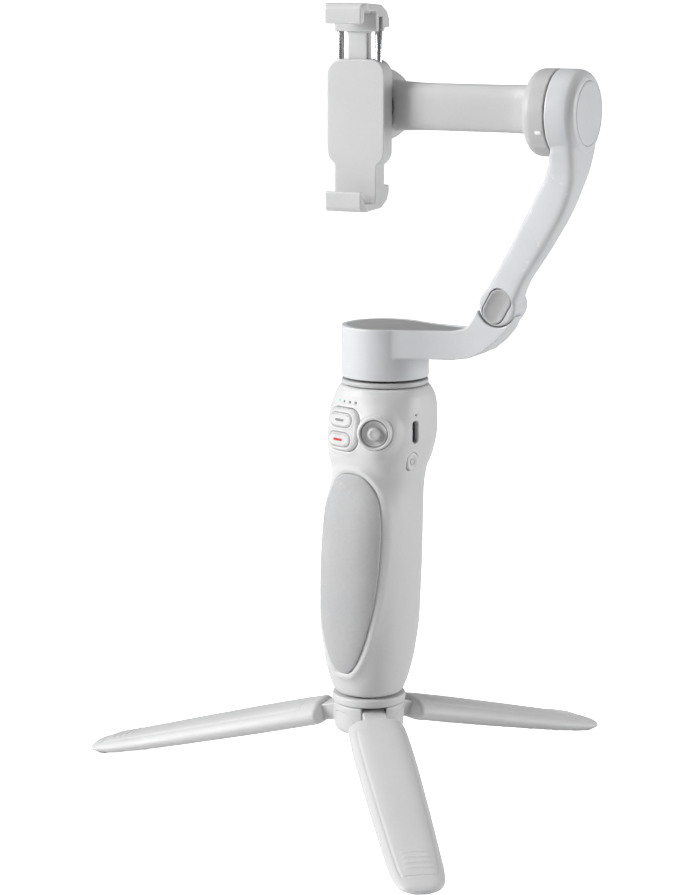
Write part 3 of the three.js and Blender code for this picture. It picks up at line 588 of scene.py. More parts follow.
def outwardNormals(outline, centre):
    tangent = np.roll(outline, -1, 0) - np.roll(outline, 1, 0)
    normal = np.stack([tangent[:, 1], -tangent[:, 0]], 1)
    normal /= np.linalg.norm(normal, axis=1)[:, None]
    return -normal if ((outline - centre) * normal).sum() < 0 else normal


pad = {
    "heights": [50.4, 54, 60, 70, 84, 98, 110, 117, 122, 126, 129, 131, 132.2],
    "halfWidth": [2.2, 5.6, 8.6, 11.6, 13.7, 14.6, 14.5, 13.7, 12.3, 10.4, 8.0, 5.4, 2.6],
    "lift": 0.8,
}
padHalf = smoothCurve(pad["heights"], pad["halfWidth"])


def padOutline(count=240):
    # an even closed outline with soft corners, in x and height
    stops = (pad["heights"][0], 62, 120, pad["heights"][-1])
    z = np.concatenate([np.linspace(a, b, 60)[k > 0:] for k, (a, b) in enumerate(zip(stops, stops[1:]))])
    half = np.stack([padHalf(z), z], 1)
    return evenly(softened(np.concatenate([half, half[::-1] * [-1, 1]]), 12), count)


padEdge = padOutline()


def outlineDistance(outline, x, z):
    # signed distance in x and height, negative inside
    p = np.stack([x.ravel(), z.ravel()], 1)
    best = np.full(len(p), 1e9)
    inside = np.zeros(len(p), bool)
    for a, b in zip(outline, np.roll(outline, -1, 0)):
        ab = b - a
        t = np.clip(((p - a) @ ab) / (ab @ ab), 0, 1)
        best = np.minimum(best, np.hypot(*(p - a - t[:, None] * ab).T))
        crosses = (a[1] > p[:, 1]) != (b[1] > p[:, 1])
        if abs(ab[1]) > 1e-12:
            inside ^= crosses & (p[:, 0] < (p[:, 1] - a[1]) * ab[0] / ab[1] + a[0])
    return np.where(inside, -best, best).reshape(x.shape)


def shellLift(points):
    # how far the shell stands above or below its plain skin
    x, y, z = points[..., 0], points[..., 1], points[..., 2]
    lift = np.zeros(x.shape)
    front = y < centreOf(z)
    d = outlineDistance(padEdge, x, z)
    ahead = step(centreOf(z) - y, 0.0, 5.0)
    d = np.where(front, d, 50)
    lip = 0.62 * np.exp(-((d - 1.7) / 1.25) ** 2) - 0.22 * np.exp(-((d - 5.4) / 1.8) ** 2)
    lift += lip * step(d, -0.2, 0.6) * ahead
    lift -= (1.15 + lift) * (1 - step(d, -0.35, 0.12))
    d = nearFace(points, places["panel"], keys["panel"]["size"])
    lift += 0.30 * (1 - step(d, 0.4, 2.2)) * step(d, 0.25, 0.45)
    lift -= (1.2 + lift) * (1 - step(d, 0.02, 0.3))
    r = nearFace(points, places["stick"])
    lift += 1.4 * (1 - step(r, 6.9, 12.0)) * step(d, 0.0, 1.4)
    lift -= (3.0 + lift) * (1 - step(r, 6.45, 6.85))
    d = nearFace(points, places["socket"], keys["socket"]["recess"])
    lift -= 5.5 * (1 - step(d, -0.4, 0.05)) + 0.12 * (1 - step(d, 0.05, 0.4))
    lift -= 0.5 * (1 - step(nearFace(points, places["charge"]), 0.35, 0.65))
    lift -= 1.3 * (1 - step(nearFace(points, places["power"], keys["power"]["recess"]), -0.3, 0.1))
    for angle in keys["lights"]["angles"]:
        lift -= 0.4 * (1 - step(nearFace(points, skinFrame(angle, keys["lights"]["height"])), 0.45, 0.75))
    lift -= 1.8 * (1 - step(nearFace(points, places["zoom"], keys["zoom"]["recess"]), -0.2, 0.15))
    lift -= 2.0 * (1 - step(nearFace(points, places["trigger"], keys["trigger"]["recess"]), -0.2, 0.15))
    return lift


def buildShell():
    # fine rows where the controls are, coarser down the grip
    base, rim, edgeRound = handle["heights"][0], handle["heights"][-1], 0.9
    rows = np.concatenate([np.linspace(base, 50, 22), np.linspace(50, 126, 110)[1:], np.linspace(126, rim, 120)[1:]])
    angles = np.linspace(0, 2 * math.pi, 384, endpoint=False)
    t, z = np.meshgrid(angles, rows)
    lift = shellLift(skinPoint(t, z))
    edge = np.minimum(z - base, rim - z)
    lift -= edgeRound * (1 - np.sqrt(np.clip(1 - (1 - np.clip(edge / edgeRound, 0, 1)) ** 2, 0, 1)))
    points = skinPoint(t, z, lift)
    rings = [fromHandle(r) for r in points]
    topIn = [fromHandle(np.stack([r * np.sin(angles), -r * np.cos(angles), np.full(len(angles), h)], 1))
             for r, h in ((12, rim), (7.5, rim), (7.4, rim - 4))]
    middle = rings[0].mean(0)
    bottomIn = [middle + (rings[0] - middle) * k + [0, 0, h] for k, h in ((0.84, 0), (0.82, 0.3), (0.82, 4.0))]
    return loft("handleShell", bottomIn[::-1] + rings + topIn, capStart=False, capEnd=False)


finishPiece(buildShell(), shellWhite, "handle", ["handle_front_shell", "handle_rear_shell"])
print("handle shell built")


def skinPatch(name, placeAt, angle, outline, profile, rows=24, dent=None):
    # rings from the middle out to the outline, then down the side: profile is (inset, lift)
    centre = outline.mean(0)
    flats, lifts = [], []
    top = profile[0][1]
    for k in range(rows):
        share = (k + 0.5) / rows
        flats.append(centre + (outline - centre) * share * (1 - profile[0][0] / np.abs(outline - centre).max()))
        lifts.append(np.full(len(outline), top))
    normal = outwardNormals(outline, centre)
    for inset, lift in profile:
        flats.append(outline - normal * inset)
        lifts.append(np.full(len(outline), lift))
    rings = []
    for flat, lift in zip(flats, lifts):
        t, z = onSkin(placeAt, angle, flat[:, 0], flat[:, 1])
        if dent is not None:
            lift = lift + dent(flat[:, 0], flat[:, 1])
        rings.append(fromHandle(skinPoint(t, z, lift)))
    return loft(name, rings)


# ---- grip pad ----
def buildPad():
    rows, centre, top = 46, np.array([0.0, 96.0]), pad["lift"]
    spine = np.clip(padEdge[:, 1], 58, 125)
    inner = np.stack([np.zeros(len(padEdge)), spine], 1)
    profile = [(0.9, top), (0.55, top - 0.06), (0.28, top - 0.22), (0.1, top - 0.5), (0.02, -0.3), (0.02, -0.9)]
    normal = outwardNormals(padEdge, centre)
    rings = []
    for k in range(rows):
        share = k / rows
        flat = inner + (padEdge - normal * profile[0][0] - inner) * share
        rings.append((flat, top + 0.25 * (1 - share ** 3)))
    for inset, lift in profile:
        rings.append((padEdge - normal * inset, lift))
    made = []
    for flat, lift in rings:
        t = np.arcsin(np.clip(flat[:, 0] / 21, -0.95, 0.95))
        for _ in range(8):
            t = t + (flat[:, 0] - skinPoint(t, flat[:, 1])[:, 0]) / 19
        made.append(fromHandle(skinPoint(t, flat[:, 1], lift)))
    return loft("gripPad", made, capStart=False)


finishPiece(buildPad(), gripGrey, "handle", ["grip_pad"])

# ---- control head ----
panelAt = places["panel"]
buttonW, buttonH, buttonR = keys["button"]["size"]


def panelDent(u, v):
    d = np.minimum(*(rectDistance(u, v - s * keys["button"]["apart"], buttonW + 0.5, buttonH + 0.5, buttonR + 0.2)
                     for s in (1, -1)))
    return -1.1 * (1 - step(d, -0.28, 0.05)) + 0.16 * np.exp(-((d - 0.5) / 0.35) ** 2)


panelAngle, lift, top = keys["panel"]["angle"], keys["panel"]["lift"], keys["button"]["lift"]
panelEdge = [(1.5, lift), (1.05, lift - 0.1), (0.65, lift - 0.32), (0.32, lift - 0.65), (0.1, lift - 1.05),
             (0.0, -0.1), (0.0, -0.9)]
keyEdge = [(0.8, top), (0.45, top - 0.07), (0.2, top - 0.25), (0.04, top - 0.55), (0.0, 0.2), (0.0, -0.8)]
markEdge = [(0.12, top + 0.05), (0.03, top + 0.03), (0.0, top - 0.1)]
panelOutline = roundRect(*keys["panel"]["size"], 288)
panelPiece = skinPatch("controlPanel", panelAt, panelAngle, panelOutline, panelEdge, 70, panelDent)
finishPiece(panelPiece, shellWhite, "handle", ["control_panel"])
for label, side in (("mode", 1), ("record", -1)):
    middle = [0, side * keys["button"]["apart"]]
    outline = roundRect(buttonW, buttonH, buttonR, 120) + middle
    piece = skinPatch(label + "Key", panelAt, panelAngle, outline, keyEdge, 16)
    finishPiece(piece, keyWhite, label + "_key", [label + "_button"])
    mark = skinPatch(label + "Mark", panelAt, panelAngle, roundRect(4.6, 1.05, 0.5, 40) + middle, markEdge, 3)
    finishPiece(mark, markRed if label == "record" else printGrey, label + "_key", ())

stickAt = turnedFrame(places["stick"])
collarProfile = [(5.45, -3.0), (5.45, 1.7), (5.6, 2.3), (5.9, 2.6), (6.2, 2.62), (6.5, 2.4), (6.8, 1.8), (7.05, 1.0),
                 (7.25, 0.3), (7.1, -0.4), (6.55, -0.6), (6.55, -3.0)]
stickCollar = turned("joystickCollar", collarProfile, stickAt, 96, 0.25)
finishPiece(stickCollar, shellWhite, "handle", ["joystick_collar"])
capProfile = [(0, -4.4), (1.6, -4.4), (1.6, -1.5), (4.6, -0.6), (5.2, 0.6), (5.2, 1.7), (5.05, 1.95), (4.6, 1.7),
              (3.9, 1.15), (3.25, 0.9), (2.85, 1.05), (2.6, 1.7), (2.5, 2.9), (2.25, 3.45), (1.75, 3.7), (1.1, 3.62),
              (0, 3.5)]
stickCap = turned("joystickCap", capProfile, stickAt, 96, 0.2)
finishPiece(stickCap, stickWhite, "joystick_cap", ["joystick_cap"])
# a near-black disc at the bottom of the joystick well, seen in the gap round the cap: painted shade
wellShadeProfile = [(0, -3.05), (6.4, -3.05), (6.4, -2.95), (0, -2.95)]
finishPiece(turned("joystickWellShade", wellShadeProfile, stickAt, 64), darkGap, "handle")

powerAt = turnedFrame(places["power"])
powerCap = [(5.7, 7.1, 2.8, -2.6), (5.7, 7.1, 2.8, -0.3), (5.6, 7.0, 2.75, 0.05), (5.2, 6.6, 2.6, 0.28),
            (4.6, 6.0, 2.3, 0.3), (3.2, 4.6, 1.6, 0.18), (1.5, 2.9, 0.7, 0.14)]
finishPiece(pillow("powerKey", powerCap, powerAt), keyWhite, "power_key", ["power_button"])
powerRing = [(1.0, 0.05), (1.25, 0.05), (1.25, 0.24), (1.0, 0.24), (1.0, 0.05)]
finishPiece(turned("powerGlyph", powerRing, powerAt, 48), printGrey, "power_key", ())

socketAt = turnedFrame(places["socket"])


def tube(name, outer, inner, start, end, placeAt, count=64):
    rings = []
    for size, level in ((outer, start), (outer, end), (inner, end), (inner, start)):
        flat = roundRect(*size, count)
        rings.append(apply(placeAt, np.column_stack([flat, np.full(count, level)])))
    return loft(name, rings + rings[:1], capStart=False, capEnd=False)


shroud = tube("socketShroud", (2.9, 8.7, 1.4), (2.5, 8.3, 1.2), -6.5, -0.9, socketAt)
finishPiece(shroud, magnetMetal, "handle", ["usb_c_socket"])
for label, levels in (("Tongue", [(0.7, 6.6, 0.2, -6.4), (0.7, 6.6, 0.2, -2.1), (0.5, 6.2, 0.2, -1.9)]),
                      ("Floor", [(2.5, 8.3, 1.2, -3.2), (2.5, 8.3, 1.2, -3.1)])):
    finishPiece(pillow("socket" + label, levels, socketAt), darkGap, "handle")
chargeAt = turnedFrame(places["charge"])
dome = [(0, -1.5), (0.5, -1.5), (0.5, -0.25), (0.35, -0.08), (0, -0.03)]
chargeDome = turned("chargeLight", [(r * 0.75, z) for r, z in dome], chargeAt, 24, 0.05)
finishPiece(chargeDome, lightOff, "handle", ["charge_light"])
for i, angle in enumerate(keys["lights"]["angles"]):
    lightAt = turnedFrame(skinFrame(angle, keys["lights"]["height"]))
    nodes = ["indicator_light_guide"] if i == 0 else ()
    finishPiece(turned(f"statusLight{i + 1}", dome, lightAt, 24, 0.05), lightOn if i == 0 else lightOff,
                "handle", nodes)
    tickAt = turnedFrame(skinFrame(angle, keys["lights"]["height"] - 2.2))
    tick = pillow(f"statusTick{i + 1}", [(1.2, 0.42, 0.2, -0.1), (1.2, 0.42, 0.2, 0.04)], tickAt, 24)
    finishPiece(tick, printGrey, "handle", ())

zoomAt = turnedFrame(places["zoom"])
finishPiece(pillow("zoomRocker", [
    (6.2, 14.2, 3.0, -1.6), (6.2, 14.2, 3.0, 0.1), (6.0, 13.9, 2.9, 0.7), (5.5, 13.1, 2.7, 1.2),
    (4.6, 11.4, 2.2, 1.55), (3.2, 8.6, 1.5, 1.68)],
    zoomAt), trimGrey, "zoom_key", ["zoom_rocker"])
for side in (1, -1):
    for k in range(3):
        at = (zoomAt[0] + zoomAt[1][1] * side * (3.0 + 1.3 * k), zoomAt[1])
        level = 1.62 - 0.12 * k
        rib = [(3.0, 0.45, 0.2, level - 0.5), (3.0, 0.45, 0.2, level + 0.1), (2.7, 0.25, 0.1, level + 0.2)]
        finishPiece(pillow(f"zoomRib{side + 2}{k}", rib, at, 32), trimGrey, "zoom_key", ())
triggerAt = turnedFrame(places["trigger"])
finishPiece(pillow("triggerKey", [
    (10.2, 18.2, 2.9, -1.8), (10.2, 18.2, 2.9, 0.5), (10.0, 17.9, 2.8, 1.2), (9.2, 16.9, 2.6, 1.9),
    (7.6, 14.6, 2.2, 2.4), (5.0, 10.5, 1.6, 2.58)],
    triggerAt), trimGrey, "trigger_key", ["trigger"])
print("controls built")


# ---- shared solids ----
def slabSolid(name, outline, low, high, placeAt=None):
    placeAt = placeAt or alongZ(0, 0, 0)
    outline = np.asarray(outline, float)
    rings = [apply(placeAt, np.column_stack([outline, np.full(len(outline), z)])) for z in (low, high)]
    return loft(name, rings)


def blockSolid(name, x0, x1, y0, y1, z0, z1, placeAt=None):
    return slabSolid(name, [(x0, y0), (x1, y0), (x1, y1), (x0, y1)], z0, z1, placeAt)


def drumSolid(name, radius, low, high, placeAt, segments=128, soft=0.0):
    return turned(name, [(0, low), (radius, low), (radius, high), (0, high)], placeAt, segments, soft)


def oval(a, b, power, count=96):
    t = (np.arange(count) + 0.5) * 2 * math.pi / count
    c, s = np.cos(t), np.sin(t)
    return np.stack([a * np.sign(c) * np.abs(c) ** (2 / power), b * np.sign(s) * np.abs(s) ** (2 / power)], 1)


# ---- pan motor ----
pan = {"radius": 17.7, "floor": 169.3, "top": 190.0}
panAxis = alongZ(0, 0, 0)
ring = [(5.7, 166.42), (17.25, 166.42), (17.6, 166.8), (17.6, 168.0), (17.25, 168.35), (5.7, 168.35), (5.7, 166.42)]
finishPiece(turned("panRing", ring, panAxis, 160, 0.15), greyAndBracketShade, "pan_base", ["pan_base"])

elbow = {"x": 52.3, "z": 201.3, "radius": 8.0, "front": -7.5, "back": 5.4}
elbowAt = alongY(elbow["x"], 0, elbow["z"])
armTurns = np.radians(np.linspace(60, 300, 120))
drumArc = np.array([(pan["radius"] * math.cos(t), pan["radius"] * math.sin(t)) for t in armTurns])
tail = smoothCurve([8, 12, 17, 24, 32, 40, 46, 50], [15.4, 13.8, 12.3, 10.3, 8.7, 7.7, 7.5, 7.5])
flank = [(x, float(tail(x))) for x in np.linspace(9.5, 46, 60)]
elbowEnd = [(64, -7.5), (64, -3), (60, 0), (56, 3.8), (51, 6.6)]
plan = np.array([*drumArc, *[(x, -y) for x, y in flank], *elbowEnd, *flank[::-1]])
side = [(-19, 169.3), (17.75, 169.3), (18.1, 178.6), (33, 178.7), (40, 179.8), (46, 182.6), (52, 187.4), (56.6, 192.2),
        (60.2, 197.4), (59.2, 199), (44, 199.4), (42.6, 196.6), (40.4, 193.2), (37.6, 191.2), (33, 190.4), (18, 190),
        (-19, 190)]
side = np.array([(x, -z) for x, z in side])  # the slab's second axis points down


def sideSlab(name, outline, low, high):
    placeAt = makeFrame((0, 0, 0), (1, 0, 0), (0, 0, -1), (0, 1, 0))
    return slabSolid(name, outline, low, high, placeAt)


def planInset(amount, count=220):
    # the pan housing's teardrop, moved inwards
    lower = np.array([(17, -12.4), (24, -10.2), (32, -8.6), (36.4, -8.1)])
    even = evenly(np.vstack([drumArc[4:-4], lower, lower[::-1] * [1, -1]]), count)
    tangent = np.roll(even, -2, 0) - np.roll(even, 2, 0)
    tangent /= np.linalg.norm(tangent, axis=1)[:, None]
    inward = np.stack([-tangent[:, 1], tangent[:, 0]], 1)
    if (inward * (even.mean(0) - even)).sum() < 0:
        inward = -inward
    return softened(even + inward * amount, 8)


def cross(name, first, second):
    m = first.modifiers.new("cross", "BOOLEAN")
    m.operation, m.object, m.solver = "INTERSECT", second, "EXACT"
    mesh = evaluated(first)
    drop(first, second)
    return linked(name, mesh)


armBody = cross("armBody", slabSolid("planSlab", plan, 178.65, 210), sideSlab("sideSlab", side, -20, 20))
panDrum = drumSolid("panDrum", pan["radius"], pan["floor"], pan["top"], panAxis, 192)
lowerArm = meld("lowerArm", [armBody, panDrum],
                [drumSolid("seat", 8.4, -12, 12, elbowAt), drumSolid("motorWell", 14.8, 160, 183, panAxis)],
                0.38, 6, [slabSolid("topRecess", planInset(2.15), 189.0, 196)])
finishPiece(lowerArm, armWhite, "pan_arm", ["lower_arm"])
plateRings = [(2.42, 188.9), (2.42, 189.65), (2.5, 189.8), (2.65, 189.88), (2.9, 189.92)]
plate = [np.column_stack([planInset(i), np.full(220, z)]) for i, z in plateRings]
finishPiece(loft("lowerArmCover", plate), trimGrey, "pan_arm", ["lower_arm_cover"])
tongueAt = makeFrame((elbow["x"], 0, elbow["z"]), (0.78, 0, -0.62), (0, 1, 0), (0.62, 0, 0.78))
tongue = meld("foldTongue", [drumSolid("tongueRound", 5.2, -2.8, 2.8, elbowAt),
                             blockSolid("tongueRoot", -3.4, 3.4, -2.8, 2.8, -11, 0, tongueAt)],
              [drumSolid("tongueBore", 2.4, -20, 20, elbowAt)], 0.3, 2)
finishPiece(tongue, armWhite, "pan_arm", ())
print("lower arm built")

# ---- upper arm ----
tilt = {"y": -29.0, "z": 278.0, "radius": 16.2}
tiltAxis = alongX(0, tilt["y"], tilt["z"])
armTable = np.array([  # x, y, height, half thickness, half depth, lean
    [52.7, -1.5, 203.2, 7.2, 6.0, 32], [55.9, -3.7, 208.6, 6.6, 5.5, 31], [60.0, -6.5, 214.8, 6.2, 5.2, 30],
    [66.2, -10.2, 222.8, 6.5, 5.5, 30], [73.4, -14.9, 232.4, 6.9, 5.9, 30], [80.6, -19.6, 242.2, 7.0, 6.1, 30],
    [86.7, -23.6, 252.0, 6.4, 7.2, 24], [89.6, -26.0, 258.0, 6.1, 9.2, 18], [91.3, -27.8, 264.0, 5.8, 11.6, 9],
    [92.6, -29.0, 272.0, 5.4, 13.6, 2]])
armCurves = [smoothCurve(armTable[:, 2], armTable[:, k]) for k in (0, 1, 3, 4, 5)]


def armSection(z, flat):
    x, y, a, b, lean = (c(z) for c in armCurves)
    t = math.radians(float(lean))
    u, v = flat(float(a), float(b))
    return np.stack([x + u * math.cos(t), y + v, z - u * math.sin(t)], 1)


def strip(name, start, end):
    # the long cover set in the outside of the arm
    def flat(a, b):
        p = oval(0.8, b * 0.56, 4, 48)
        return p[:, 0] + a - 0.72, p[:, 1]
    return loft(name, [armSection(z, flat) for z in np.linspace(start, end, 40)])


armHeights = np.linspace(armTable[0, 2], armTable[-1, 2], 60)
armTube = loft("armTube", [armSection(z, lambda a, b: oval(a, b, 4.4, 128).T) for z in armHeights])
shellProfile = [(0, 87.1), (tilt["radius"], 87.1), (tilt["radius"], 93.2), (16.0, 95.2), (15.2, 96.9), (13.9, 98.0),
                (12.4, 98.38), (0, 98.4)]
motorShell = turned("motorShell", shellProfile, tiltAxis, 160)
knuckle = drumSolid("knuckle", elbow["radius"], elbow["front"], elbow["back"], elbowAt, 128, 1.6)
slotAt = makeFrame((elbow["x"], 0, elbow["z"]), (-0.415, 0, 0.91), (0, 1, 0), (-0.91, 0, -0.415))
pillAt = makeFrame((elbow["x"], 0, elbow["z"]), (0.87, 0, -0.49), (0.49, 0, 0.87), (0, -1, 0))
upperArm = meld("upperArm", [armTube, motorShell, knuckle], [
    drumSolid("motorGap", 16.7, 70, 87.1, tiltAxis), drumSolid("motorBore", 13.2, 80, 95.2, tiltAxis),
    drumSolid("tongueGap", 5.6, -3.1, 3.1, elbowAt), blockSolid("tongueWay", -10, 10, -3.1, 3.1, 0, 12, slotAt)],
    0.36, 6, [slabSolid("pillRecess", roundRect(10.2, 15.4, 5.0, 96), 5.0, 12, pillAt),
              drumSolid("capGroove", 12.1, 97.4, 100, tiltAxis, 160)])
finishPiece(upperArm, armWhite, "upper_arm", ["upper_arm"])
coverStrip = strip("coverStrip", 220.0, 268)
discProfile = [(0, 97.3), (11.85, 97.3), (11.85, 98.25), (11.6, 98.5), (11.0, 98.64), (0, 98.7)]
coverDisc = turned("coverDisc", discProfile, tiltAxis, 160)
armCover = meld("upperArmCover", [coverStrip, coverDisc], (), 0.22, 3)
finishPiece(armCover, armWhite, "upper_arm", ["upper_arm_cover"])
lockPill = [(9.4, 14.6, 4.65, 6.3), (9.4, 14.6, 4.65, 7.1), (9.2, 14.4, 4.55, 7.5), (8.8, 14.0, 4.35, 7.72),
            (8.2, 13.4, 4.05, 7.74), (7.2, 12.2, 3.5, 7.55), (5.4, 10.2, 2.6, 7.3), (3.0, 7.0, 1.4, 7.15)]
finishPiece(pillow("foldLock", lockPill, pillAt, 96), trimGrey, "fold_key", ["fold_lock_button"])
print("upper arm built")

# ---- tilt bracket and roll motor ----
rollAxis = alongY(0, 0, tilt["z"])
innerProfile = [(0, 77.4), (12.6, 77.4), (14.4, 77.8), (15.6, 78.9), (16.15, 80.5), (tilt["radius"], 82.2),
                (tilt["radius"], 86.7), (0, 86.7)]
innerDrum = turned("innerDrum", innerProfile, tiltAxis, 160)
barTable = np.array([[81.0, -20, 7.0, 10.4], [76.0, -17.4, 5.2, 9.6], [70.0, -15.2, 4.2, 9.2], [60, -14.4, 3.9, 9.0],
                     [30, -14.2, 3.9, 9.0], [14, -13.4, 4.2, 9.6], [8, -11.6, 5.0, 10.4]])[::-1]
barCurves = [smoothCurve(barTable[:, 0], barTable[:, k]) for k in (1, 2, 3)]
barRings = []
for x in np.linspace(8, 81, 60):
    y, b, h = (float(c(x)) for c in barCurves)
    p = oval(b, h, 3.4, 72)
    barRings.append(np.stack([np.full(72, x), y + p[:, 0], tilt["z"] + p[:, 1]], 1))
cupProfile = [(0, -17.5), (14.2, -17.5), (14.5, -17.1), (14.5, -4.6), (14.1, -3.4), (13.2, -2.6), (12.4, -2.5),
              (0, -2.5)]
rollCup = turned("rollCup", cupProfile, rollAxis, 160)
bracket = meld("tiltBracket", [innerDrum, loft("bar", barRings), rollCup],
               [drumSolid("rollWell", 12.0, -18.5, -5, rollAxis)], 0.36, 6,
               [drumSolid("capWell", 12.55, -3.6, 2, rollAxis, 160), drumSolid("shaftWell", 3.1, 81, 90, tiltAxis)])
# the bracket's darker grey is painted shade
finishPiece(bracket, greyAndBracketShade, "tilt_frame", ["tilt_bracket"])
rollCap = turned("rollCap", [(0, -3.4), (12.2, -3.4), (12.3, -2.75), (12.0, -2.4), (11.2, -2.2), (8, -2.05), (0, -2.0)],
                 rollAxis, 128, 0.1)
finishPiece(rollCap, trimGrey, "tilt_frame", ["roll_motor_cap"])
markTurn = 0.42
markCos, markSin = math.cos(markTurn), math.sin(markTurn)
markAt = makeFrame((84.6, tilt["y"] - tilt["radius"] * markCos, tilt["z"] - tilt["radius"] * markSin),
                   (1, 0, 0), (0, -markSin, markCos), (0, -markCos, -markSin))
indexMark = pillow("indexMark", [(2.6, 1.5, 0.4, -0.3), (2.6, 1.5, 0.4, 0.14), (2.4, 1.3, 0.35, 0.24)], markAt, 40)
finishPiece(indexMark, markWhite, "tilt_frame", ["tilt_index_mark"])
print("tilt bracket built")

# ---- clamp ----
clamp = {"bottom": 241.95, "top": 313.45, "front": -26.0, "back": -18.9, "rodX": 8.3, "rodY": -22.45}
clampAt = towardFront(0, 0, 0)


def fingerSolid(name, side, root):
    profile = np.array([
        [-14.8, -5.5], [-14.8, -2.4], [-16.6, 0.6], [-21.4, 3.2], [-34.4, 3.9], [-35.7, 3.3], [-36.4, 2.0],
        [-36.4, -3.6], [-35.8, -4.0], [-34.9, -3.8], [-34.4, -2.6], [-34.4, 0.75], [clamp["front"], 0.75],
        [clamp["front"], -root], [clamp["back"], -root], [clamp["back"], -5.5]])
    level = clamp["top"] if side > 0 else clamp["bottom"]
    placeAt = makeFrame((0, 0, level), (0, 1, 0), (0, 0, side), (side, 0, 0))
    outline = [(-9.2, -10), (9.2, -10), (9.2, -33), (7.9, -35.6), (7.2, -38), (-7.2, -38), (-7.9, -35.6), (-9.2, -33)]
    taper = slabSolid(name + "Taper", outline, 200, 360)
    return cross(name, slabSolid(name + "Side", profile, -9.2, 9.2, placeAt), taper)


def padBox(name, side, grow):
    low = clamp["top"] if side > 0 else clamp["bottom"] - 1.1
    high = clamp["top"] + 1.1 if side > 0 else clamp["bottom"]
    return blockSolid(name, -7.4 - grow, 7.4 + grow, -33.6 - grow, -26.9 + grow, low - grow, high + grow)


rodAt = {s: alongZ(clamp["rodX"] * s, clamp["rodY"], 0) for s in (-1, 1)}
rodWays = [drumSolid(f"rodWay{s + 1}", 1.75, 260.5, 300, rodAt[s], 32) for s in (-1, 1)]
clampPlate = slabSolid("clampPlate", roundRect(25, 41, 6, 96) + [0, 275.5], 18.9, 26.0, clampAt)
clampBlade = blockSolid("clampBlade", -9.2, 9.2, clamp["front"], clamp["back"], 240, 262)
slideWay = blockSolid("slideWay", -4.7, 4.7, -24.8, -20.1, 259.6, 300)
clampBody = meld("clampBody", [clampPlate, clampBlade, fingerSolid("lowerFinger", -1, 12)], [], 0.34, 4,
                 rodWays + [slideWay, padBox("lowerPadWay", -1, 0.2)])
finishPiece(clampBody, clampWhite, "clamp", ["clamp_body"])
jawWays = [drumSolid(f"jawWay{s + 1}", 1.7, 300, 312.05, rodAt[s], 32) for s in (-1, 1)]
slideBar = blockSolid("slideBar", -4.3, 4.3, -24.4, -20.5, 281, 309.4)
jaw = meld("upperJaw", [fingerSolid("upperFinger", 1, 7), slideBar], [], 0.34, 4,
           jawWays + [padBox("upperPadWay", 1, 0.2)])
finishPiece(jaw, clampWhite, "clamp_jaw", ["clamp_upper_jaw"])
for name, body, outer, inner in (("clamp_lower_pad", "clamp", 240.85, 241.95),
                                 ("clamp_upper_pad", "clamp_jaw", 314.55, 313.45)):
    stepIn = 1 if inner > outer else -1
    sizes = [(14.8, 6.7, 1.2, outer), (14.8, 6.7, 1.2, inner - 0.25 * stepIn), (14.5, 6.4, 1.05, inner)]
    padPiece = pillow("".join(w.title() for w in name.split("_")), sizes, alongZ(0, -30.25, 0), 64)
    finishPiece(padPiece, gripGrey, body, [name])
    for k in range(5):
        x = (k - 2) * 2.6
        rib = [(0.9, 5.2, 0.4, inner - 0.3 * stepIn), (0.9, 5.2, 0.4, inner - 0.04 * stepIn)]
        finishPiece(pillow(f"{padPiece.name}Rib{k}", rib, alongZ(x, -30.25, 0), 24), gripGrey, body, ())
rodProfile = [(0, 270.5), (1.1, 270.5), (1.4, 270.8), (1.4, 311.4), (1.1, 311.7), (0, 311.7)]
for label, s in (("left", -1), ("right", 1)):
    rod = turned("rod" + label.title(), rodProfile, rodAt[s], 48)
    finishPiece(rod, steel, "clamp_jaw", ["clamp_rod_" + label])
print("clamp built")

# ---- tripod ----
hubTop = 35.6
leg = {"pinRadius": 10.4, "pinHeight": 31.0, "reach": 126.0, "turns": (66.5, 186.5, 306.5)}
centre = fromHandle((0, handle["gripY"], 0))[0]
hubAxis = alongZ(centre[0], centre[1], 0)
legDrop = math.asin((leg["pinHeight"] - 1.2) / (leg["reach"] - leg["pinRadius"]))
legLength = (leg["reach"] - leg["pinRadius"]) / math.cos(legDrop)
pinFrames, legFrames = [], []
for turn in leg["turns"]:
    t = math.radians(turn)
    origin = centre + [leg["pinRadius"] * math.cos(t), leg["pinRadius"] * math.sin(t), leg["pinHeight"]]
    axes = np.array([[math.cos(t), math.sin(t), 0], [-math.sin(t), math.cos(t), 0], [0, 0, 1]])
    pinFrames.append((origin, axes))
    dropCos, dropSin = math.cos(legDrop), math.sin(legDrop)
    legFrames.append((origin, np.array([[dropCos, 0, -dropSin], [0, 1, 0], [dropSin, 0, dropCos]]) @ axes))

hubProfile = [(0, 25.0), (8, 23.6), (11.6, 23.4), (13.3, 24.0), (14.2, 25.6), (14.4, 27.6), (14.4, 35.2),
              (14.0, hubTop), (0, hubTop)]
hubBody = turned("hubBody", hubProfile, hubAxis, 160)
slots = []
for i, place in enumerate(pinFrames):
    slots.append(blockSolid(f"hubSlot{i}", -5.6, 12, -5.0, 5.0, -12, hubTop - leg["pinHeight"] - 0.8, place))
    slots.append(blockSolid(f"hubMouth{i}", -0.6, 12, -5.0, 5.0, -12, 12, place))
late = [drumSolid("hubBore", 3.0, 27, 40, hubAxis, 48)]
for i, turn in enumerate(leg["turns"]):
    t = math.radians(turn + 60)
    outward = np.array([math.cos(t), math.sin(t), 0])
    eye = makeFrame(centre + outward * 14.1 + [0, 0, 27.4], (-math.sin(t), math.cos(t), 0), (0, 0, 1), outward)
    late.append(tube(f"hubEye{i}", (13.2, 11.4, 5.0), (12.7, 10.9, 4.75), -3, 2, eye, 96))
hubPiece = meld("tripodHub", [hubBody], slots, 0.34, 4, late)
finishPiece(hubPiece, shellWhite, "tripod", ["tripod_hub"])
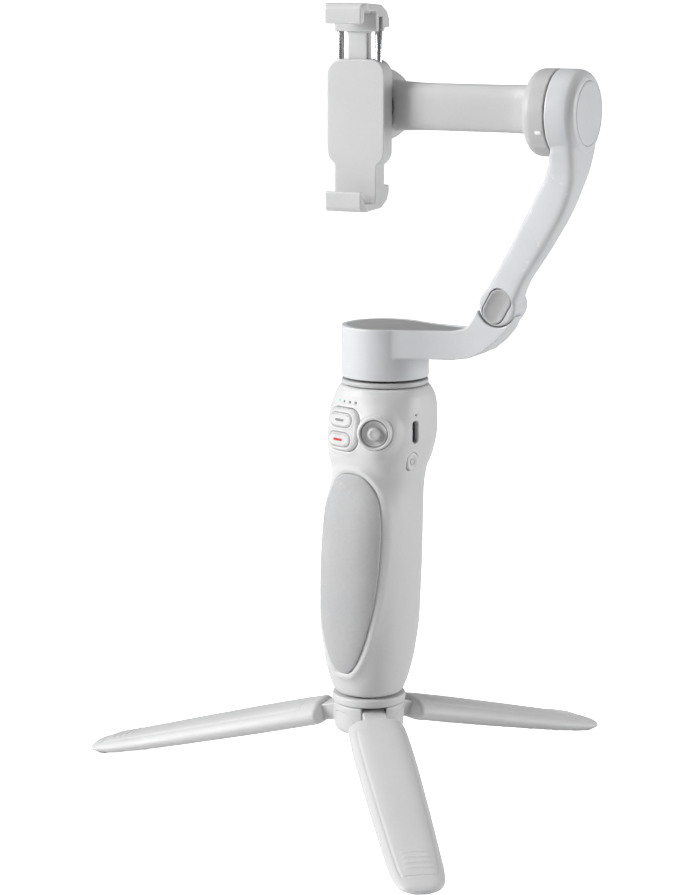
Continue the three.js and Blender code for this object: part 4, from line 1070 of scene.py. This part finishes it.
collar = [(4.0, 35.9), (14.3, 35.9), (14.85, 36.3), (15.0, 36.9), (15.0, 38.6), (14.8, 39.2), (14.2, 39.4), (4.0, 39.4),
          (4.0, 35.9)]
finishPiece(turned("tripodCollar", collar, hubAxis, 160, 0.2), shellWhite, "tripod", ["tripod_collar"])

legTable = np.array([  # distance from the pin, half width, top, underside
    [8.3, 10.3, 5.0, -3.4], [10.4, 11.7, 5.5, -3.9], [30, 12.2, 5.4, -3.9], [60, 11.8, 4.9, -3.7],
    [90, 11.0, 4.2, -3.3], [106, 10.4, 3.8, -2.5], [114, 9.3, 3.3, -1.3], [118, 7.4, 2.8, -0.4], [legLength + 0.6, 4.2, 1.9, 0.2]])
legStart, legEnd = legTable[0, 0], legTable[-1, 0]
legHalf, legTop, legUnder = (smoothCurve(legTable[:, 0], legTable[:, k]) for k in (1, 2, 3))
ribs = (12, 28, 44, 60, 76, 92, 104)


def legTopLift(s, y):
    # the leaf-shaped panel, its groove, and the finger ridges at the tip
    half = legHalf(s)
    d = np.maximum(np.abs(y) - (half - 2.6), np.maximum(s - 113.0, 16.0 - s))
    lift = -0.30 * np.exp(-((d + 0.1) / 0.28) ** 2) + 0.10 * (1 - step(d, -0.9, -0.2))
    for k in range(4):
        ridge = 0.42 * np.exp(-((s - (99.0 + 3.1 * k)) / 0.62) ** 2)
        lift += ridge * (1 - step(np.abs(y), half * 0.42, half * 0.58))
    return lift


def legMesh(number, place):
    stations = np.concatenate([np.linspace(legStart, 10.4, 6), np.linspace(10.4, 96, 150)[1:],
                               np.linspace(96, legEnd, 90)[1:]])
    across = np.sin(np.linspace(-math.pi / 2, math.pi / 2, 73))
    rings = []
    for s in stations:
        w, top, under = float(legHalf(s)), float(legTop(s)), float(legUnder(s))
        end = min(s - legStart, legEnd - s)
        shrink = 1 - 0.18 * (1 - math.sqrt(max(0.0, 1 - (1 - min(end / 1.6, 1)) ** 2)))
        w *= shrink
        mid = under + 0.42 * (top - under)
        y = across * w
        crown = (1 - np.abs(across) ** 3.4) ** 0.62
        zTop = mid + (top - mid) * shrink * crown + legTopLift(s, y) * (np.abs(across) < 0.97)
        hollow = 0.0
        for a, b in zip(ribs, ribs[1:]):
            hollow = max(hollow, float(step(s, a + 0.7, a + 1.3) * (1 - step(s, b - 1.3, b - 0.7))))
        inner = 1 - step(np.abs(y), 8.6, 9.1)
        flat = 1 - np.clip(np.abs(across), 0, 1) ** 6
        zUnder = mid + (under - mid) * flat ** 0.6 + inner * hollow * (2.2 - under - 0.018 * s)
        ring = np.concatenate([np.column_stack([np.full(73, s), y, zTop]),
                               np.column_stack([np.full(71, s), y[1:-1], zUnder[1:-1]])[::-1]])
        rings.append(apply(place, ring))
    return loft(f"leg{number}", rings)


for i, place in enumerate(legFrames):
    number = i + 1
    body = f"leg_{number}"
    finishPiece(legMesh(number, place), shellWhite, body, [body])
    # the tongue that turns on the pin
    tongueSide = makeFrame(place[0], place[1][0], place[1][2], np.cross(place[1][0], place[1][2]))
    outline = [(10.5, -2.9), (10.5, 3.6), (3, 3.6), (0, 3.55), (-2.6, 2.4), (-3.5, 0), (-2.6, -2.6), (0, -3.55),
               (4, -3.3)]
    hinge = meld(f"legTongue{number}", [slabSolid(f"tongueSlab{number}", outline, -4.7, 4.7, tongueSide)], (), 0.34, 4)
    finishPiece(hinge, shellWhite, body, ())
    sole = roundRect(12, 13.2, 2.4, 64) + [111, 0]
    foot = [apply(place, np.column_stack([sole, np.full(64, z)])) for z in (-0.9, -1.6, -2.0)]
    for ring in foot:
        ring[:, 2] = np.maximum(ring[:, 2], 0.02)
    finishPiece(loft(f"legFoot{number}", foot), footRubber, body, [f"leg_{number}_foot"])
print("tripod built")

# ---- stage, lights and camera ----
# lights are placed by camera right, camera back and up, in metres from the middle of the object
studio = {
    "world": 0.20, "glow": 1.1,
    "left": {"place": (-1.15, 0.28, 0.50), "size": 0.7, "power": 17.5},
    "right": {"place": (1.0, 0.05, 0.15), "size": 0.45, "power": 5.0},
    "top": {"place": (-0.25, 0.0, 1.30), "size": 0.8, "power": 5.0},
}


def stageMaterial(name):
    material, tree, shader = baseMaterial(name)
    coords = tree.nodes.new("ShaderNodeTexCoord").outputs["Object"]
    noise = noiseNode(tree, 9, 3)
    tree.links.new(coords, noise.inputs["Vector"])
    pale = mixColour(tree, noise.outputs["Fac"], (0.86, 0.86, 0.86), (0.87, 0.87, 0.87))
    tree.links.new(pale, shader.inputs["Base Color"])
    shader.inputs["Roughness"].default_value = 0.9
    shader.inputs["Emission Color"].default_value = (1, 1, 1, 1)
    path = tree.nodes.new("ShaderNodeLightPath").outputs["Is Camera Ray"]
    tree.links.new(mathNode(tree, "MULTIPLY", path, studio["glow"]), shader.inputs["Emission Strength"])
    return material


def buildStage():
    # a round floor that sweeps up into a wall all the way round
    profile = [(0.002, 0), (1.0, 0), (2.0, 0), (3.0, 0)]
    profile += [(3.0 + 1.5 * math.sin(a), 1.5 - 1.5 * math.cos(a)) for a in np.radians(np.arange(5, 91, 5))]
    profile += [(4.5, 4.0)]
    count = 96
    turns = np.arange(count) * 2 * math.pi / count
    rings = [np.stack([r * 1000 * np.cos(turns), r * 1000 * np.sin(turns), np.full(count, z * 1000 - 0.4)], 1) - shift
             for r, z in profile]
    return loft("studioSweep", rings, capEnd=False)


sweep = buildStage()
sweep.data.materials.append(stageMaterial("stageWhite"))

world = bpy.data.worlds.new("studioWorld")
world.use_nodes = True
world.node_tree.nodes["Background"].inputs["Color"].default_value = (1, 1, 1, 1)
world.node_tree.nodes["Background"].inputs["Strength"].default_value = studio["world"]
bpy.context.scene.world = world

view = {"place": (438.5, -856.9, 328.6), "tilt": 78.876, "turn": 27.933, "lens": 97.14, "sensor": 36,
        "shiftX": -0.0027933}
cameraTurn = math.radians(view["turn"])
cameraRight = Vector((math.cos(cameraTurn), math.sin(cameraTurn), 0))
cameraBack = Vector((math.sin(cameraTurn), -math.cos(cameraTurn), 0))
lampTarget = Vector((0, 0, 0.17))
for name in ("left", "right", "top"):
    lamp = studio[name]
    across, back, up = lamp["place"]
    light = bpy.data.lights.new(name + "Softbox", "AREA")
    light.shape, light.size, light.energy = "DISK", lamp["size"], lamp["power"]
    holder = linked(name + "Softbox", light)
    holder.location = lampTarget + cameraRight * across + cameraBack * back + Vector((0, 0, up))
    holder.rotation_euler = (lampTarget - holder.location).to_track_quat("-Z", "Y").to_euler()

bpy.context.scene.view_settings.view_transform = "Standard"
cameraData = bpy.data.cameras.new("camera")
cameraData.lens, cameraData.sensor_width, cameraData.shift_x = view["lens"], view["sensor"], view["shiftX"]
cameraData.clip_start, cameraData.clip_end = 0.05, 50
camera = linked("camera", cameraData)
camera.location = toWorld(view["place"])[0]
camera.rotation_euler = (math.radians(view["tilt"]), 0, cameraTurn)
bpy.context.scene.camera = camera

bpy.context.view_layer.update()
print("stage, lights and camera placed")
